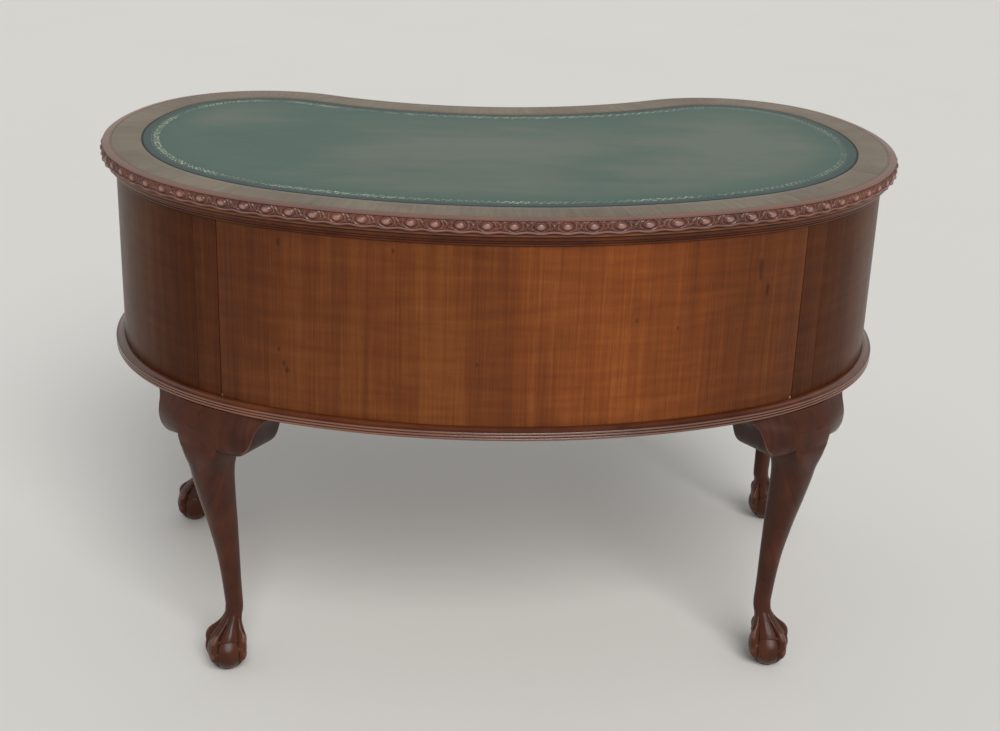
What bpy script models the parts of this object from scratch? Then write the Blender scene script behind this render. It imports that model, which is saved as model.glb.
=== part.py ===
# Kidney shaped writing desk on four cabriole legs.
# The bow side looks toward -Y, the sitter's hollow side toward +Y, the floor is at z = 0.

import math

import bmesh
import bpy
from mathutils import Vector

# Overall
desk_length = 1.22
desk_height = 0.755

# Plan outline: arcs that run into each other, from the middle of the bow to the hollow.
# Each radius is a share of the length.
bow_radius_share = 0.75
shoulder_radius_share = 0.374
end_radius_share = 0.3076
lobe_radius_share = 0.1807
bow_turn = math.radians(22.87)
shoulder_turn = math.radians(21.29)
end_turn = math.radians(75.0)
lobe_turn = math.radians(88.56)
outline_flatness = 0.0004

# Fits
seat_gap = 0.0003
slide_gap = 0.0008

# Top
border_width = 0.0615
leather_thickness = 0.0012
leather_recess = 0.0017
lipping_width = 0.0174
lipping_height = 0.0195
cove_height = 0.0225
cove_lip_inset = 0.0068
top_frame_inset = 0.05
cove_reach_share = 0.75
cove_start_share = 0.2
cove_rise_share = 0.5
cove_bead_share = 0.15
cove_bead_height_share = 0.1
cove_steps = 3

# Carving on the lipping
boss_count = 94
boss_parts = 3
boss_depth = 0.0052
scallop_drop = 0.0012
lip_drop_share = 0.08
band_top_share = 0.2
band_middle_share = 0.45
band_bottom_share = 0.7
lower_lip_share = 0.85
upper_lip_inset_share = 0.18
lower_lip_inset_share = 0.07
lip_return_share = 0.2

# Case
case_inset = 0.0228
panel_thickness = 0.016
lower_opening_height = 0.14
moulding_height = 0.016
moulding_inset = 0.0086
reed_count = 3
reed_relief = 0.0013
reed_top_share = 0.78
reed_width_share = 0.42
moulding_step_shares = ((0.35, 0.96), (0.7, 0.83))

# Kneehole and banks of drawers
kneehole_half_width = 0.235
bank_panel_thickness = 0.02
runner_ledge = 0.008
upper_opening_height = 0.109
dust_board_thickness = 0.014

# Posts and legs
post_width = 0.042
post_depth = 0.044
bow_post_share = 0.704918
drawer_post_heading = math.radians(127)
knee_half_width = 0.034
knee_top_out = 0.01
knee_out = 0.034
knee_drop = 0.064
knee_taper = 1.6
knee_corner = 0.02
back_corner = 0.006
leg_corner_share = 0.62
ankle_height = 0.1
ankle_half_width = 0.0124
ankle_set_back = 0.027
bow_foot_out = 0.006
drawer_foot_out = -0.006
bow_foot_along = 0.015
ball_radius = 0.033
sole_radius = 0.012
neck_share = 0.6
foot_settle_share = 0.62
claw_height = 0.0065
claw_tip_height = 0.006
claw_swell = 0.6
claw_side_share = 0.35
knee_rings = 4
leg_rings = 7
foot_rings = 9

# Knee brackets
bracket_length = 0.056
bracket_drop = 0.061
bracket_tip = 0.004
bracket_lobe_share = 0.3
bracket_hook = 0.003
bracket_front_out = 0.01
bracket_tip_out = 0.004
bracket_columns = 9

# Drawers
front_thickness = 0.018
side_thickness = 0.01
bottom_thickness = 0.006
bottom_raise = 0.008
side_step_down = 0.012
bank_back_room = 0.012
middle_back_room = 0.05
front_columns = 14

# Handles
plate_half_length = 0.043
plate_half_height = 0.0145
plate_thickness = 0.0015
plate_columns = 12
plate_waist = 0.2
plate_end_taper = 0.75
post_half_spacing = 0.03
stem_radius = 0.0035
stem_reach = 0.0075
knob_radius = 0.0048
knob_reach = 0.0155
knob_dome = 0.0015
bore_reach = 0.0115
bore_radius = 0.0021
handle_sides = 12
bail_radius = 0.0019
pin_radius = 0.0015
pin_inner_share = 0.75
bail_half_span = 0.0415
bail_drop = 0.027
bail_squareness = 0.6
bail_sides = 8
bail_quarter_steps = 5


def clear_scene():
    for thing in list(bpy.data.objects):
        bpy.data.objects.remove(thing, do_unlink=True)


# The arcs of one half of the outline at a given scale, each as
# (distance at its start, centre x, centre y, radius, heading at its start, turning sign).
def unit_arcs(scale):
    arcs = []
    distance = 0.0
    heading = 0.0
    x = 0.0
    y = 0.0
    shares = (bow_radius_share, shoulder_radius_share, end_radius_share, lobe_radius_share)
    turns = (bow_turn, shoulder_turn, end_turn, lobe_turn)
    for share, turn in zip(shares, turns):
        radius = share * scale
        centre_x = x - radius * math.sin(heading)
        centre_y = y + radius * math.cos(heading)
        arcs.append((distance, centre_x, centre_y, radius, heading, 1))
        distance += radius * turn
        heading += turn
        x = centre_x + radius * math.sin(heading)
        y = centre_y - radius * math.cos(heading)
    hollow = heading - math.pi
    radius = x / math.sin(hollow)
    arcs.append((distance, 0.0, y + radius * math.cos(hollow), radius, heading, -1))
    return arcs, distance + radius * hollow


def widest(arcs):
    for start, centre_x, centre_y, radius, heading, sign in reversed(arcs):
        if sign > 0 and heading <= math.pi / 2:
            return centre_x + radius
    return 0.0


def deepest(arcs):
    start, centre_x, centre_y, radius, heading, sign = arcs[3]
    return centre_y + radius


plain_arcs, plain_half = unit_arcs(desk_length)
outline_scale = desk_length * (desk_length / 2) / widest(plain_arcs)
outline_arcs, half_way = unit_arcs(outline_scale)
centre_shift = deepest(outline_arcs) / 2


def arc_of(distance):
    chosen = outline_arcs[0]
    for arc in outline_arcs:
        if arc[0] <= distance:
            chosen = arc
    return chosen


def heading_at(distance):
    start, centre_x, centre_y, radius, heading, sign = arc_of(abs(distance))
    return heading + sign * (abs(distance) - start) / radius


# A point of the plan: a distance along the outer line (positive toward +X) and how far in
# from that line it lies.
def spot(distance, inset):
    start, centre_x, centre_y, radius, heading, sign = arc_of(abs(distance))
    turned = heading + sign * (abs(distance) - start) / radius
    reach = sign * radius - inset
    x = centre_x + reach * math.sin(turned)
    y = centre_y - reach * math.cos(turned) - centre_shift
    return Vector((math.copysign(x, distance) if distance else x, y))


def point(distance, inset, z):
    place = spot(distance, inset)
    return Vector((place.x, place.y, z))


def bisect(test, low, high):
    for turn in range(60):
        middle = (low + high) / 2
        if test(middle):
            low = middle
        else:
            high = middle
    return (low + high) / 2


def distance_at_heading(angle):
    return bisect(lambda d: heading_at(d) < angle, 0.0, outline_arcs[4][0])


end_distance = distance_at_heading(math.pi / 2)


def bow_distance(x, inset):
    return bisect(lambda d: spot(d, inset).x < x, 0.0, end_distance)


def hollow_distance(x, inset):
    return bisect(lambda d: spot(d, inset).x > x, end_distance, half_way)


# The sides of a post measured along the outer line, for a post centred at one distance.
def post_sides(distance):
    radius = arc_of(distance)[3]
    half = post_width / 2 * radius / (radius - case_inset)
    return distance - half, distance + half


def post_marks(distance):
    near, far = post_sides(distance)
    return [near + (far - near) * quarter / 4 for quarter in range(5)]


bow_post_distance = bow_distance(bow_post_share * desk_length / 2, case_inset)
drawer_post_distance = distance_at_heading(drawer_post_heading)
bow_side_near, bow_side_far = post_sides(bow_post_distance)
drawer_side_near, drawer_side_far = post_sides(drawer_post_distance)


def outline_marks():
    marks = post_marks(bow_post_distance) + post_marks(drawer_post_distance)
    for index, arc in enumerate(outline_arcs):
        start = arc[0]
        stop = outline_arcs[index + 1][0] if index + 1 < len(outline_arcs) else half_way
        count = math.ceil((stop - start) / math.sqrt(8 * arc[3] * outline_flatness))
        for part in range(count + 1):
            mark = start + (stop - start) * part / count
            if not any(abs(mark - post) < post_width for post in (bow_post_distance, drawer_post_distance)):
                marks.append(mark)
    both = marks + [-mark for mark in marks if mark > 0]
    return sorted(both)


shared_marks = outline_marks()


# The shared marks between two ends, and the ends themselves.
def stations(low, high):
    inside = [mark for mark in shared_marks if low + slide_gap < mark < high - slide_gap]
    return [low] + inside + [high]


# The hollows between bosses, which the edge of the top also follows.
def boss_marks():
    return [-half_way + 2 * half_way * index / boss_count for index in range(boss_count)]


def material(name, colour, roughness, metallic):
    made = bpy.data.materials.new(name)
    made.use_nodes = True
    shader = made.node_tree.nodes["Principled BSDF"]
    shader.inputs["Base Color"].default_value = colour
    shader.inputs["Roughness"].default_value = roughness
    shader.inputs["Metallic"].default_value = metallic
    made.diffuse_color = colour
    return made


mahogany = (0.19, 0.055, 0.028, 1.0)
dark_mahogany = (0.12, 0.03, 0.018, 1.0)
border_wood = (0.17, 0.075, 0.045, 1.0)
pale_wood = (0.42, 0.24, 0.12, 1.0)
green_leather = (0.03, 0.075, 0.062, 1.0)
old_brass = (0.58, 0.4, 0.16, 1.0)


def make(name, vertices, faces, colour, roughness=0.35, metallic=0.0, origin=None, smooth=True):
    centre = Vector(origin) if origin else Vector((0.0, 0.0, 0.0))
    mesh = bpy.data.meshes.new(name)
    mesh.from_pydata([tuple(Vector(v) - centre) for v in vertices], [], faces)
    shape = bmesh.new()
    shape.from_mesh(mesh)
    bmesh.ops.recalc_face_normals(shape, faces=shape.faces)
    if shape.calc_volume(signed=True) < 0:
        bmesh.ops.reverse_faces(shape, faces=shape.faces)
    shape.to_mesh(mesh)
    shape.free()
    thing = bpy.data.objects.new(name, mesh)
    thing.location = centre
    bpy.context.scene.collection.objects.link(thing)
    mesh.materials.append(material(name, colour, roughness, metallic))
    if smooth:
        mesh.shade_smooth()
        mesh.set_sharp_from_angle(angle=math.radians(32))
    return thing


# Quads between neighbouring rings of equal size.
def bands(ring_count, size, closed):
    faces = []
    last = ring_count if closed else ring_count - 1
    for ring in range(last):
        onward = (ring + 1) % ring_count
        for place in range(size):
            beside = (place + 1) % size
            faces.append((ring * size + place, ring * size + beside,
                          onward * size + beside, onward * size + place))
    return faces


def loop_solid(name, rings, colour, **options):
    size = len(rings[0])
    vertices = [v for ring in rings for v in ring]
    return make(name, vertices, bands(len(rings), size, True), colour, **options)


def bar_solid(name, rings, colour, **options):
    size = len(rings[0])
    vertices = [v for ring in rings for v in ring]
    faces = bands(len(rings), size, False)
    faces.append(tuple(reversed(range(size))))
    faces.append(tuple(range((len(rings) - 1) * size, len(rings) * size)))
    return make(name, vertices, faces, colour, **options)


# A plan shape carried straight up.
def plan_solid(name, plan, low, high, colour, **options):
    rings = [[(p[0], p[1], z) for p in plan] for z in (low, high)]
    return bar_solid(name, rings, colour, **options)


def smooth_step(share):
    held = min(max(share, 0.0), 1.0)
    return held * held * (3 - 2 * held)


# The drawers keep their heights and the legs take the rest.
case_top = desk_height - lipping_height - cove_height
dust_board_height = case_top - upper_opening_height - dust_board_thickness
base_height = dust_board_height - lower_opening_height - moulding_height
panel_inset = case_inset + panel_thickness
post_inset = case_inset + post_depth


def side_gap(distance, gap):
    radius = arc_of(distance)[3]
    return gap * radius / (radius - post_inset)


def top_board():
    recess_floor = desk_height - leather_recess
    step_height = desk_height - lipping_height
    edge_inset = lipping_width + seat_gap
    cove_depth = case_inset - cove_lip_inset
    cove = []
    for part in range(cove_steps + 1):
        angle = math.pi / 2 * part / cove_steps
        fall = cove_start_share + cove_rise_share * math.sin(angle)
        cove.append((cove_lip_inset + cove_depth * cove_reach_share * (1 - math.cos(angle)),
                     step_height - seat_gap - cove_height * fall))
    section = [(border_width, recess_floor), (border_width, desk_height), (edge_inset, desk_height),
               (edge_inset, step_height - seat_gap), (cove_lip_inset, step_height - seat_gap)]
    section += cove
    section.append((case_inset - cove_depth * cove_bead_share, case_top + cove_height * cove_bead_height_share))
    section += [(case_inset, case_top), (top_frame_inset, case_top), (top_frame_inset, step_height)]
    marks = boss_marks()
    vertices = []
    for mark in marks:
        for inset, z in section:
            vertices.append(point(mark, inset, z))
    size = len(section)
    count = len(marks)
    faces = []
    for ring in range(count):
        onward = (ring + 1) % count
        for place in range(size - 1):
            faces.append((ring * size + place, ring * size + place + 1,
                          onward * size + place + 1, onward * size + place))
    faces.append(tuple(ring * size for ring in range(count)))
    faces.append(tuple(ring * size + size - 1 for ring in range(count)))
    make("top_board", vertices, faces, border_wood, roughness=0.3)


def leather():
    marks = boss_marks()
    plan = [spot(mark, border_width + seat_gap) for mark in marks]
    floor = desk_height - leather_recess + seat_gap
    plan_solid("leather_inset", plan, floor, floor + leather_thickness, green_leather, roughness=0.55)


# Bosses stand out between hollows, and the lower lip dips under each boss. The inner face is
# straight from hollow to hollow, as the edge of the top is.
def carved_edge():
    low = desk_height - lipping_height
    rings = []
    marks = boss_marks()
    for index, mark in enumerate(marks):
        after = marks[index + 1] if index + 1 < boss_count else half_way
        start = spot(mark, lipping_width)
        stop = spot(after, lipping_width)
        for part in range(boss_parts):
            distance = mark + (after - mark) * part / boss_parts
            inner = start.lerp(stop, part / boss_parts)
            boss = 1.0 if part else 0.0
            section = [
                (lipping_width * upper_lip_inset_share, desk_height - lipping_height * lip_drop_share),
                (boss_depth, desk_height - lipping_height * band_top_share),
                (boss_depth * (1 - boss), desk_height - lipping_height * band_middle_share),
                (boss_depth, desk_height - lipping_height * band_bottom_share),
                (lipping_width * lower_lip_inset_share * (1 - boss),
                 desk_height - lipping_height * lower_lip_share - scallop_drop * boss),
                (lipping_width * lip_return_share, low),
            ]
            ring = [(inner.x, inner.y, desk_height)]
            ring += [point(distance, inset, z) for inset, z in section]
            ring.append((inner.x, inner.y, low))
            rings.append(ring)
    loop_solid("carved_edge", rings, dark_mahogany)


def curved_panel(name, low_mark, high_mark):
    rings = []
    for mark in stations(low_mark, high_mark):
        section = [(case_inset, base_height), (case_inset, case_top - seat_gap),
                   (panel_inset, case_top - seat_gap), (panel_inset, base_height)]
        rings.append([point(mark, inset, z) for inset, z in section])
    bar_solid(name, rings, mahogany)


def panels():
    near = bow_side_near - side_gap(bow_post_distance, seat_gap)
    curved_panel("bow_panel", -near, near)
    low = bow_side_far + side_gap(bow_post_distance, seat_gap)
    high = drawer_side_near - side_gap(drawer_post_distance, seat_gap)
    curved_panel("left_end_panel", -high, -low)
    curved_panel("right_end_panel", low, high)


def base_moulding():
    inner = case_inset - seat_gap
    depth = inner - moulding_inset
    top = base_height + moulding_height
    section = [(inner, base_height), (inner, top)]
    for out_share, up_share in moulding_step_shares:
        section.append((inner - depth * out_share, base_height + moulding_height * up_share))
    reed = moulding_height * reed_top_share / reed_count
    for index in range(reed_count):
        middle = base_height + reed * (reed_count - index - 0.5)
        section.append((moulding_inset + reed_relief, middle + reed * reed_width_share))
        section.append((moulding_inset, middle))
    section.append((moulding_inset + reed_relief, base_height))
    reach = hollow_distance(kneehole_half_width, case_inset)
    rings = []
    for mark in stations(-reach, reach):
        rings.append([point(mark, inset, z) for inset, z in section])
    bar_solid("base_moulding", rings, dark_mahogany)


# The plan frame of one leg: a point on the case face, its outward and sideways directions.
class Stand:
    def __init__(self, distance, along_sign):
        heading = heading_at(distance)
        side = math.copysign(1.0, distance)
        self.distance = distance
        self.base = spot(distance, case_inset)
        self.out = Vector((side * math.sin(heading), -math.cos(heading)))
        self.along = Vector((side * math.cos(heading), math.sin(heading))) * along_sign

    def place(self, out, along, z):
        flat = self.base + self.out * out + self.along * along
        return Vector((flat.x, flat.y, z))

    # How far the case face stands out from the flat plane through the base point.
    def face_out(self, along, inset):
        low = abs(self.distance) - post_depth * 3
        high = abs(self.distance) + post_depth * 3
        side = math.copysign(1.0, self.distance)
        rising = (spot(side * high, inset) - spot(side * low, inset)).dot(self.along) > 0
        mark = bisect(lambda d: ((spot(side * d, inset) - self.base).dot(self.along) < along) == rising,
                      low, high)
        return (spot(side * mark, inset) - self.base).dot(self.out)


# Sixteen points round a rounded oblong, from the middle of its front.
def oblong(stand, back, front, half, along, front_round, back_round, z):
    ring = []
    corners = ((front, half, front_round, 0), (back, half, back_round, 1),
               (back, -half, back_round, 2), (front, -half, front_round, 3))
    middles = ((front, 0.0), ((front + back) / 2, half), (back, 0.0), ((front + back) / 2, -half))
    for index, (out, wide, radius, quarter) in enumerate(corners):
        middle = middles[index]
        ring.append(stand.place(middle[0], along + middle[1], z))
        centre_out = out - math.copysign(radius, out - (front + back) / 2)
        centre_wide = wide - math.copysign(radius, wide)
        for part in (0, 1, 2):
            angle = math.pi / 2 * quarter + math.pi / 4 * part
            ring.append(stand.place(centre_out + radius * math.cos(angle),
                                    along + centre_wide + radius * math.sin(angle), z))
    return ring


# Sixteen points round the post, in the same order as the oblong.
def post_ring(stand, z):
    near, far = post_sides(abs(stand.distance))
    side = math.copysign(1.0, stand.distance)
    middle = (near + far) / 2
    probe = spot(side * far, case_inset) - stand.base
    if probe.dot(stand.along) < 0:
        near, far = far, near
    half_depth = (case_inset + post_inset) / 2
    quarter_front = case_inset + post_depth / 4
    quarter_back = post_inset - post_depth / 4
    toward_far = (middle + far) / 2
    toward_near = (middle + near) / 2
    path = [(middle, case_inset), (toward_far, case_inset), (far, case_inset), (far, quarter_front),
            (far, half_depth), (far, quarter_back), (far, post_inset), (toward_far, post_inset),
            (middle, post_inset), (toward_near, post_inset), (near, post_inset), (near, quarter_back),
            (near, half_depth), (near, quarter_front), (near, case_inset), (toward_near, case_inset)]
    return [point(side * distance, inset, z) for distance, inset in path]


def leg_rings_of(stand, foot_out, foot_along):
    knee_low = base_height - knee_drop
    shelf = base_height - seat_gap
    rings = [post_ring(stand, case_top - seat_gap), post_ring(stand, shelf)]
    for index in range(knee_rings + 1):
        share = index / knee_rings
        bulge = math.sin(math.pi / 2 * share)
        front = knee_top_out + (knee_out - knee_top_out) * bulge
        back = -post_depth + (post_depth - knee_half_width) * share
        low_round = knee_half_width * leg_corner_share
        rings.append(oblong(stand, back, front, knee_half_width, 0.0,
                            knee_corner + (low_round - knee_corner) * share,
                            back_corner + (low_round - back_corner) * smooth_step(share),
                            shelf - (shelf - knee_low) * share))
    ankle_out = foot_out - ankle_set_back
    for index in range(1, leg_rings + 1):
        share = 1 - index / leg_rings
        step = smooth_step(share)
        half = ankle_half_width + (knee_half_width - ankle_half_width) * step ** knee_taper
        centre = ankle_out * (1 - step)
        along = -foot_along * (1 - step)
        z = ankle_height + (knee_low - ankle_height) * share
        rings.append(oblong(stand, centre - half, centre + half, half, along,
                            half * leg_corner_share, half * leg_corner_share, z))
    return rings


def foot_rings_of(stand, foot_out, foot_along):
    rings = []
    ball_centre = math.sqrt(ball_radius ** 2 - sole_radius ** 2)
    join = ball_centre + ball_radius * neck_share
    join_radius = math.sqrt(ball_radius ** 2 - (join - ball_centre) ** 2)
    for index in range(1, foot_rings + 1):
        share = index / foot_rings
        z = ankle_height * (1 - share)
        if z > join:
            flare = smooth_step((ankle_height - z) / (ankle_height - join))
            web = ankle_half_width + (join_radius - ankle_half_width) * flare
        else:
            web = math.sqrt(max(ball_radius ** 2 - (z - ball_centre) ** 2, sole_radius ** 2))
        rise = max(0.0, math.sin(math.pi * min(1.0, (ankle_height - z) / (ankle_height - claw_tip_height))))
        claw = web + claw_height * rise ** claw_swell
        if index == foot_rings:
            claw = web
        out = foot_out - ankle_set_back * (1 - smooth_step(share / foot_settle_share))
        ring = []
        for place in range(16):
            angle = 2 * math.pi * place / 16
            reach = claw if place % 4 == 0 else web
            if place % 2:
                reach = web + (claw - web) * claw_side_share
            ring.append(stand.place(out + reach * math.cos(angle),
                                    -foot_along + reach * math.sin(angle), z))
        rings.append(ring)
    return rings


# The lower edge of a bracket: a hook by the knee, a round lobe, then a hollow up to the tip.
def bracket_depth(share):
    if share < bracket_lobe_share:
        return bracket_drop - bracket_hook * (1 - share / bracket_lobe_share) ** 2
    turn = math.pi * (share - bracket_lobe_share) / (1 - bracket_lobe_share)
    return bracket_tip + (bracket_drop - bracket_tip) * (1 + math.cos(turn)) / 2


def bracket(name, stand, side):
    rings = []
    top = base_height - seat_gap
    for index in range(bracket_columns + 1):
        share = index / bracket_columns
        along = side * (knee_half_width + seat_gap + bracket_length * share)
        face = stand.face_out(along, case_inset)
        rear = stand.face_out(along, post_inset)
        front = face + bracket_front_out + (bracket_tip_out - bracket_front_out) * share
        low = top - bracket_depth(share)
        rings.append([stand.place(front, along, top), stand.place(front, along, low),
                      stand.place(rear, along, low), stand.place(rear, along, top)])
    bar_solid(name, rings, dark_mahogany)


def legs():
    for side_name, side in (("left", -1), ("right", 1)):
        for place_name, distance, toward_end, foot_out, foot_along in (
                ("bow", bow_post_distance, 1, bow_foot_out, bow_foot_along),
                ("drawer", drawer_post_distance, -1, drawer_foot_out, 0.0)):
            stand = Stand(side * distance, toward_end)
            rings = leg_rings_of(stand, foot_out, foot_along)
            rings += foot_rings_of(stand, foot_out, foot_along)
            base = f"{place_name}_{side_name}_leg"
            bar_solid(base, rings, dark_mahogany)
            bracket(base + "_end_bracket", stand, 1)
            bracket(base + "_middle_bracket", stand, -1)


panel_far = kneehole_half_width + bank_panel_thickness


# One upright board beside the kneehole, with a ledge along it for the middle drawer.
def bank_panel(name, side):
    ledge_height = dust_board_height + dust_board_thickness
    thin = kneehole_half_width + runner_ledge
    top = case_top - seat_gap
    section = [(kneehole_half_width, base_height), (panel_far, base_height), (panel_far, ledge_height),
               (panel_far, top), (thin, top), (thin, ledge_height), (kneehole_half_width, ledge_height)]
    bow_inset = panel_inset + seat_gap
    hollow_end = []
    bow_end = []
    for x, z in section:
        hollow_end.append((side * x, spot(hollow_distance(x, case_inset), case_inset).y, z))
        bow_end.append((side * x, spot(bow_distance(x, bow_inset), bow_inset).y, z))
    vertices = hollow_end + bow_end
    size = len(section)
    faces = bands(2, size, False)
    for start in (0, size):
        faces.append((start, start + 1, start + 2, start + 6))
        faces.append((start + 2, start + 5, start + 6))
        faces.append((start + 2, start + 3, start + 4, start + 5))
    make(name, vertices, faces, mahogany, smooth=False)


# The plan of a board that fills one bank, cut round the posts.
def bank_plan(side):
    gap = seat_gap
    wall = panel_far + gap
    start = hollow_distance(wall, case_inset)
    plan = []
    far = drawer_side_far + side_gap(drawer_post_distance, gap)
    for mark in reversed(stations(far, start)):
        plan.append(spot(mark, case_inset))
    near = drawer_side_near - side_gap(drawer_post_distance, gap)
    plan.append(spot(far, post_inset + gap))
    plan.append(spot(near, post_inset + gap))
    low = bow_side_far + side_gap(bow_post_distance, gap)
    for mark in reversed(stations(low, near)):
        plan.append(spot(mark, panel_inset + gap))
    high = bow_side_near - side_gap(bow_post_distance, gap)
    plan.append(spot(low, post_inset + gap))
    plan.append(spot(high, post_inset + gap))
    stop = bow_distance(wall, panel_inset + gap)
    for mark in reversed(stations(stop, high)):
        plan.append(spot(mark, panel_inset + gap))
    return [(side * p.x, p.y) for p in plan]


def bank_boards():
    for side_name, side in (("left", -1), ("right", 1)):
        bank_panel(side_name + "_bank_panel", side)
        plan_solid(side_name + "_bank_bottom", bank_plan(side), base_height,
                   base_height + moulding_height, mahogany, smooth=False)
        plan_solid(side_name + "_dust_board", bank_plan(side), dust_board_height,
                   dust_board_height + dust_board_thickness, mahogany, smooth=False)


# A curved drawer front, from marks along its outer and its inner line.
def front_plan(outer_marks, inner_marks, side):
    outer = [spot(mark, case_inset) for mark in outer_marks]
    inner = [spot(mark, case_inset + front_thickness) for mark in inner_marks]
    plan = outer + list(reversed(inner))
    return [(side * p.x, p.y) for p in plan]


def spread(low, high, count):
    return [low + (high - low) * index / count for index in range(count + 1)]


def front_inner_y(x, gap):
    inset = case_inset + front_thickness + gap
    return spot(hollow_distance(abs(x), inset), inset).y


def drawer_parts(name, plan, x_low, x_high, back_y, low, high):
    plan_solid(name + "_drawer_front", plan, low, high, mahogany)
    top = high - side_step_down
    inner_low = x_low + side_thickness
    inner_high = x_high - side_thickness
    for part, x0, x1 in (("_drawer_left_side", x_low, inner_low),
                         ("_drawer_right_side", inner_high, x_high)):
        side_plan = [(x0, back_y), (x1, back_y), (x1, front_inner_y(x1, seat_gap)),
                     (x0, front_inner_y(x0, seat_gap))]
        plan_solid(name + part, side_plan, low, top, pale_wood, smooth=False)
    clear_low = inner_low + seat_gap
    clear_high = inner_high - seat_gap
    back_front = back_y + side_thickness
    back_plan = [(clear_low, back_y), (clear_high, back_y), (clear_high, back_front), (clear_low, back_front)]
    plan_solid(name + "_drawer_back", back_plan, low, top, pale_wood, smooth=False)
    bottom_plan = [(clear_low, back_front + seat_gap), (clear_high, back_front + seat_gap)]
    for x in reversed(spread(clear_low, clear_high, front_columns)):
        bottom_plan.append((x, front_inner_y(x, seat_gap)))
    plan_solid(name + "_drawer_bottom", bottom_plan, low + bottom_raise,
               low + bottom_raise + bottom_thickness, pale_wood, smooth=False)


def round_rings(centre_x, y_profile, z, sides):
    rings = []
    for y, radius in y_profile:
        ring = []
        for place in range(sides):
            angle = 2 * math.pi * (place + 0.5) / sides
            ring.append((centre_x + radius * math.cos(angle), y, z + radius * math.sin(angle)))
        rings.append(ring)
    return rings


# Joins a post to a plate, or cuts a bore through it.
def combine(thing, tool, operation):
    step = thing.modifiers.new(operation.lower(), "BOOLEAN")
    step.operation = operation
    step.solver = "EXACT"
    step.object = tool
    tool.hide_render = True
    tool.display_type = "WIRE"


# A shaped brass plate bent to the drawer front, with two posts bored for the bail.
def handle(name, centre_x, z, face_y):
    rings = []
    for index in range(plate_columns + 1):
        share = 2 * index / plate_columns - 1
        x = centre_x + plate_half_length * share
        y = face_y(x) + seat_gap
        waist = 1 - plate_waist + plate_waist * math.cos(2 * math.pi * share)
        half = plate_half_height * (1 - plate_end_taper * share ** 4) * waist
        rings.append([(x, y, z - half), (x, y, z + half), (x, y + plate_thickness, z + half),
                      (x, y + plate_thickness, z - half)])
    plate = bar_solid(name + "_handle_plate", rings, old_brass, roughness=0.3, metallic=1.0)
    middle_y = face_y(centre_x) + seat_gap + plate_thickness
    for side in (-1, 1):
        x = centre_x + side * post_half_spacing
        root = face_y(x) + seat_gap + plate_thickness / 2
        profile = [(root, stem_radius), (middle_y + stem_reach, stem_radius),
                   (middle_y + stem_reach, knob_radius), (middle_y + knob_reach - knob_dome, knob_radius),
                   (middle_y + knob_reach, knob_radius - knob_dome)]
        post = bar_solid(f"{name}_post_{side}", round_rings(x, profile, z, handle_sides), old_brass)
        combine(plate, post, "UNION")
    bore_y = middle_y + bore_reach
    for side in (-1, 1):
        rings = []
        for reach in (post_half_spacing - knob_radius * 2, post_half_spacing + knob_radius * 2):
            ring = []
            for place in range(bail_sides):
                angle = 2 * math.pi * (place + 0.5) / bail_sides
                ring.append((centre_x + side * reach, bore_y + bore_radius * math.cos(angle),
                             z + bore_radius * math.sin(angle)))
            rings.append(ring)
        bore = bar_solid(f"{name}_bore_{side}", rings, old_brass)
        combine(plate, bore, "DIFFERENCE")
    bail(name, centre_x, bore_y, z)


def bail(name, centre_x, y, z):
    quarter = [(post_half_spacing - knob_radius * pin_inner_share, 0.0, pin_radius),
               (bail_half_span - bail_radius * 2, 0.0, pin_radius)]
    for index in range(bail_quarter_steps + 1):
        angle = math.pi / 2 * index / bail_quarter_steps
        wide = bail_half_span * math.cos(angle) ** bail_squareness if index < bail_quarter_steps else 0.0
        drop = bail_drop * math.sin(angle) ** bail_squareness
        if index == 0:
            quarter.append((wide, 0.0, bail_radius))
        else:
            quarter.append((wide, -drop, bail_radius))
    path = [(-x, drop, radius) for x, drop, radius in quarter[:-1]] + list(reversed(quarter))
    rings = []
    for index, (x, drop, radius) in enumerate(path):
        before = path[max(index - 1, 0)]
        after = path[min(index + 1, len(path) - 1)]
        tangent = Vector((after[0] - before[0], after[1] - before[1]))
        tangent.normalize()
        normal = Vector((-tangent.y, tangent.x))
        ring = []
        for place in range(bail_sides):
            angle = 2 * math.pi * (place + 0.5) / bail_sides
            in_plane = radius * math.cos(angle)
            ring.append((centre_x + x + normal.x * in_plane, y + radius * math.sin(angle),
                         z + drop + normal.y * in_plane))
        rings.append(ring)
    bar_solid(name + "_handle_bail", rings, old_brass, roughness=0.3, metallic=1.0,
              origin=(centre_x, y, z))


def hollow_face_y(x):
    return spot(hollow_distance(abs(x), case_inset), case_inset).y


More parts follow.
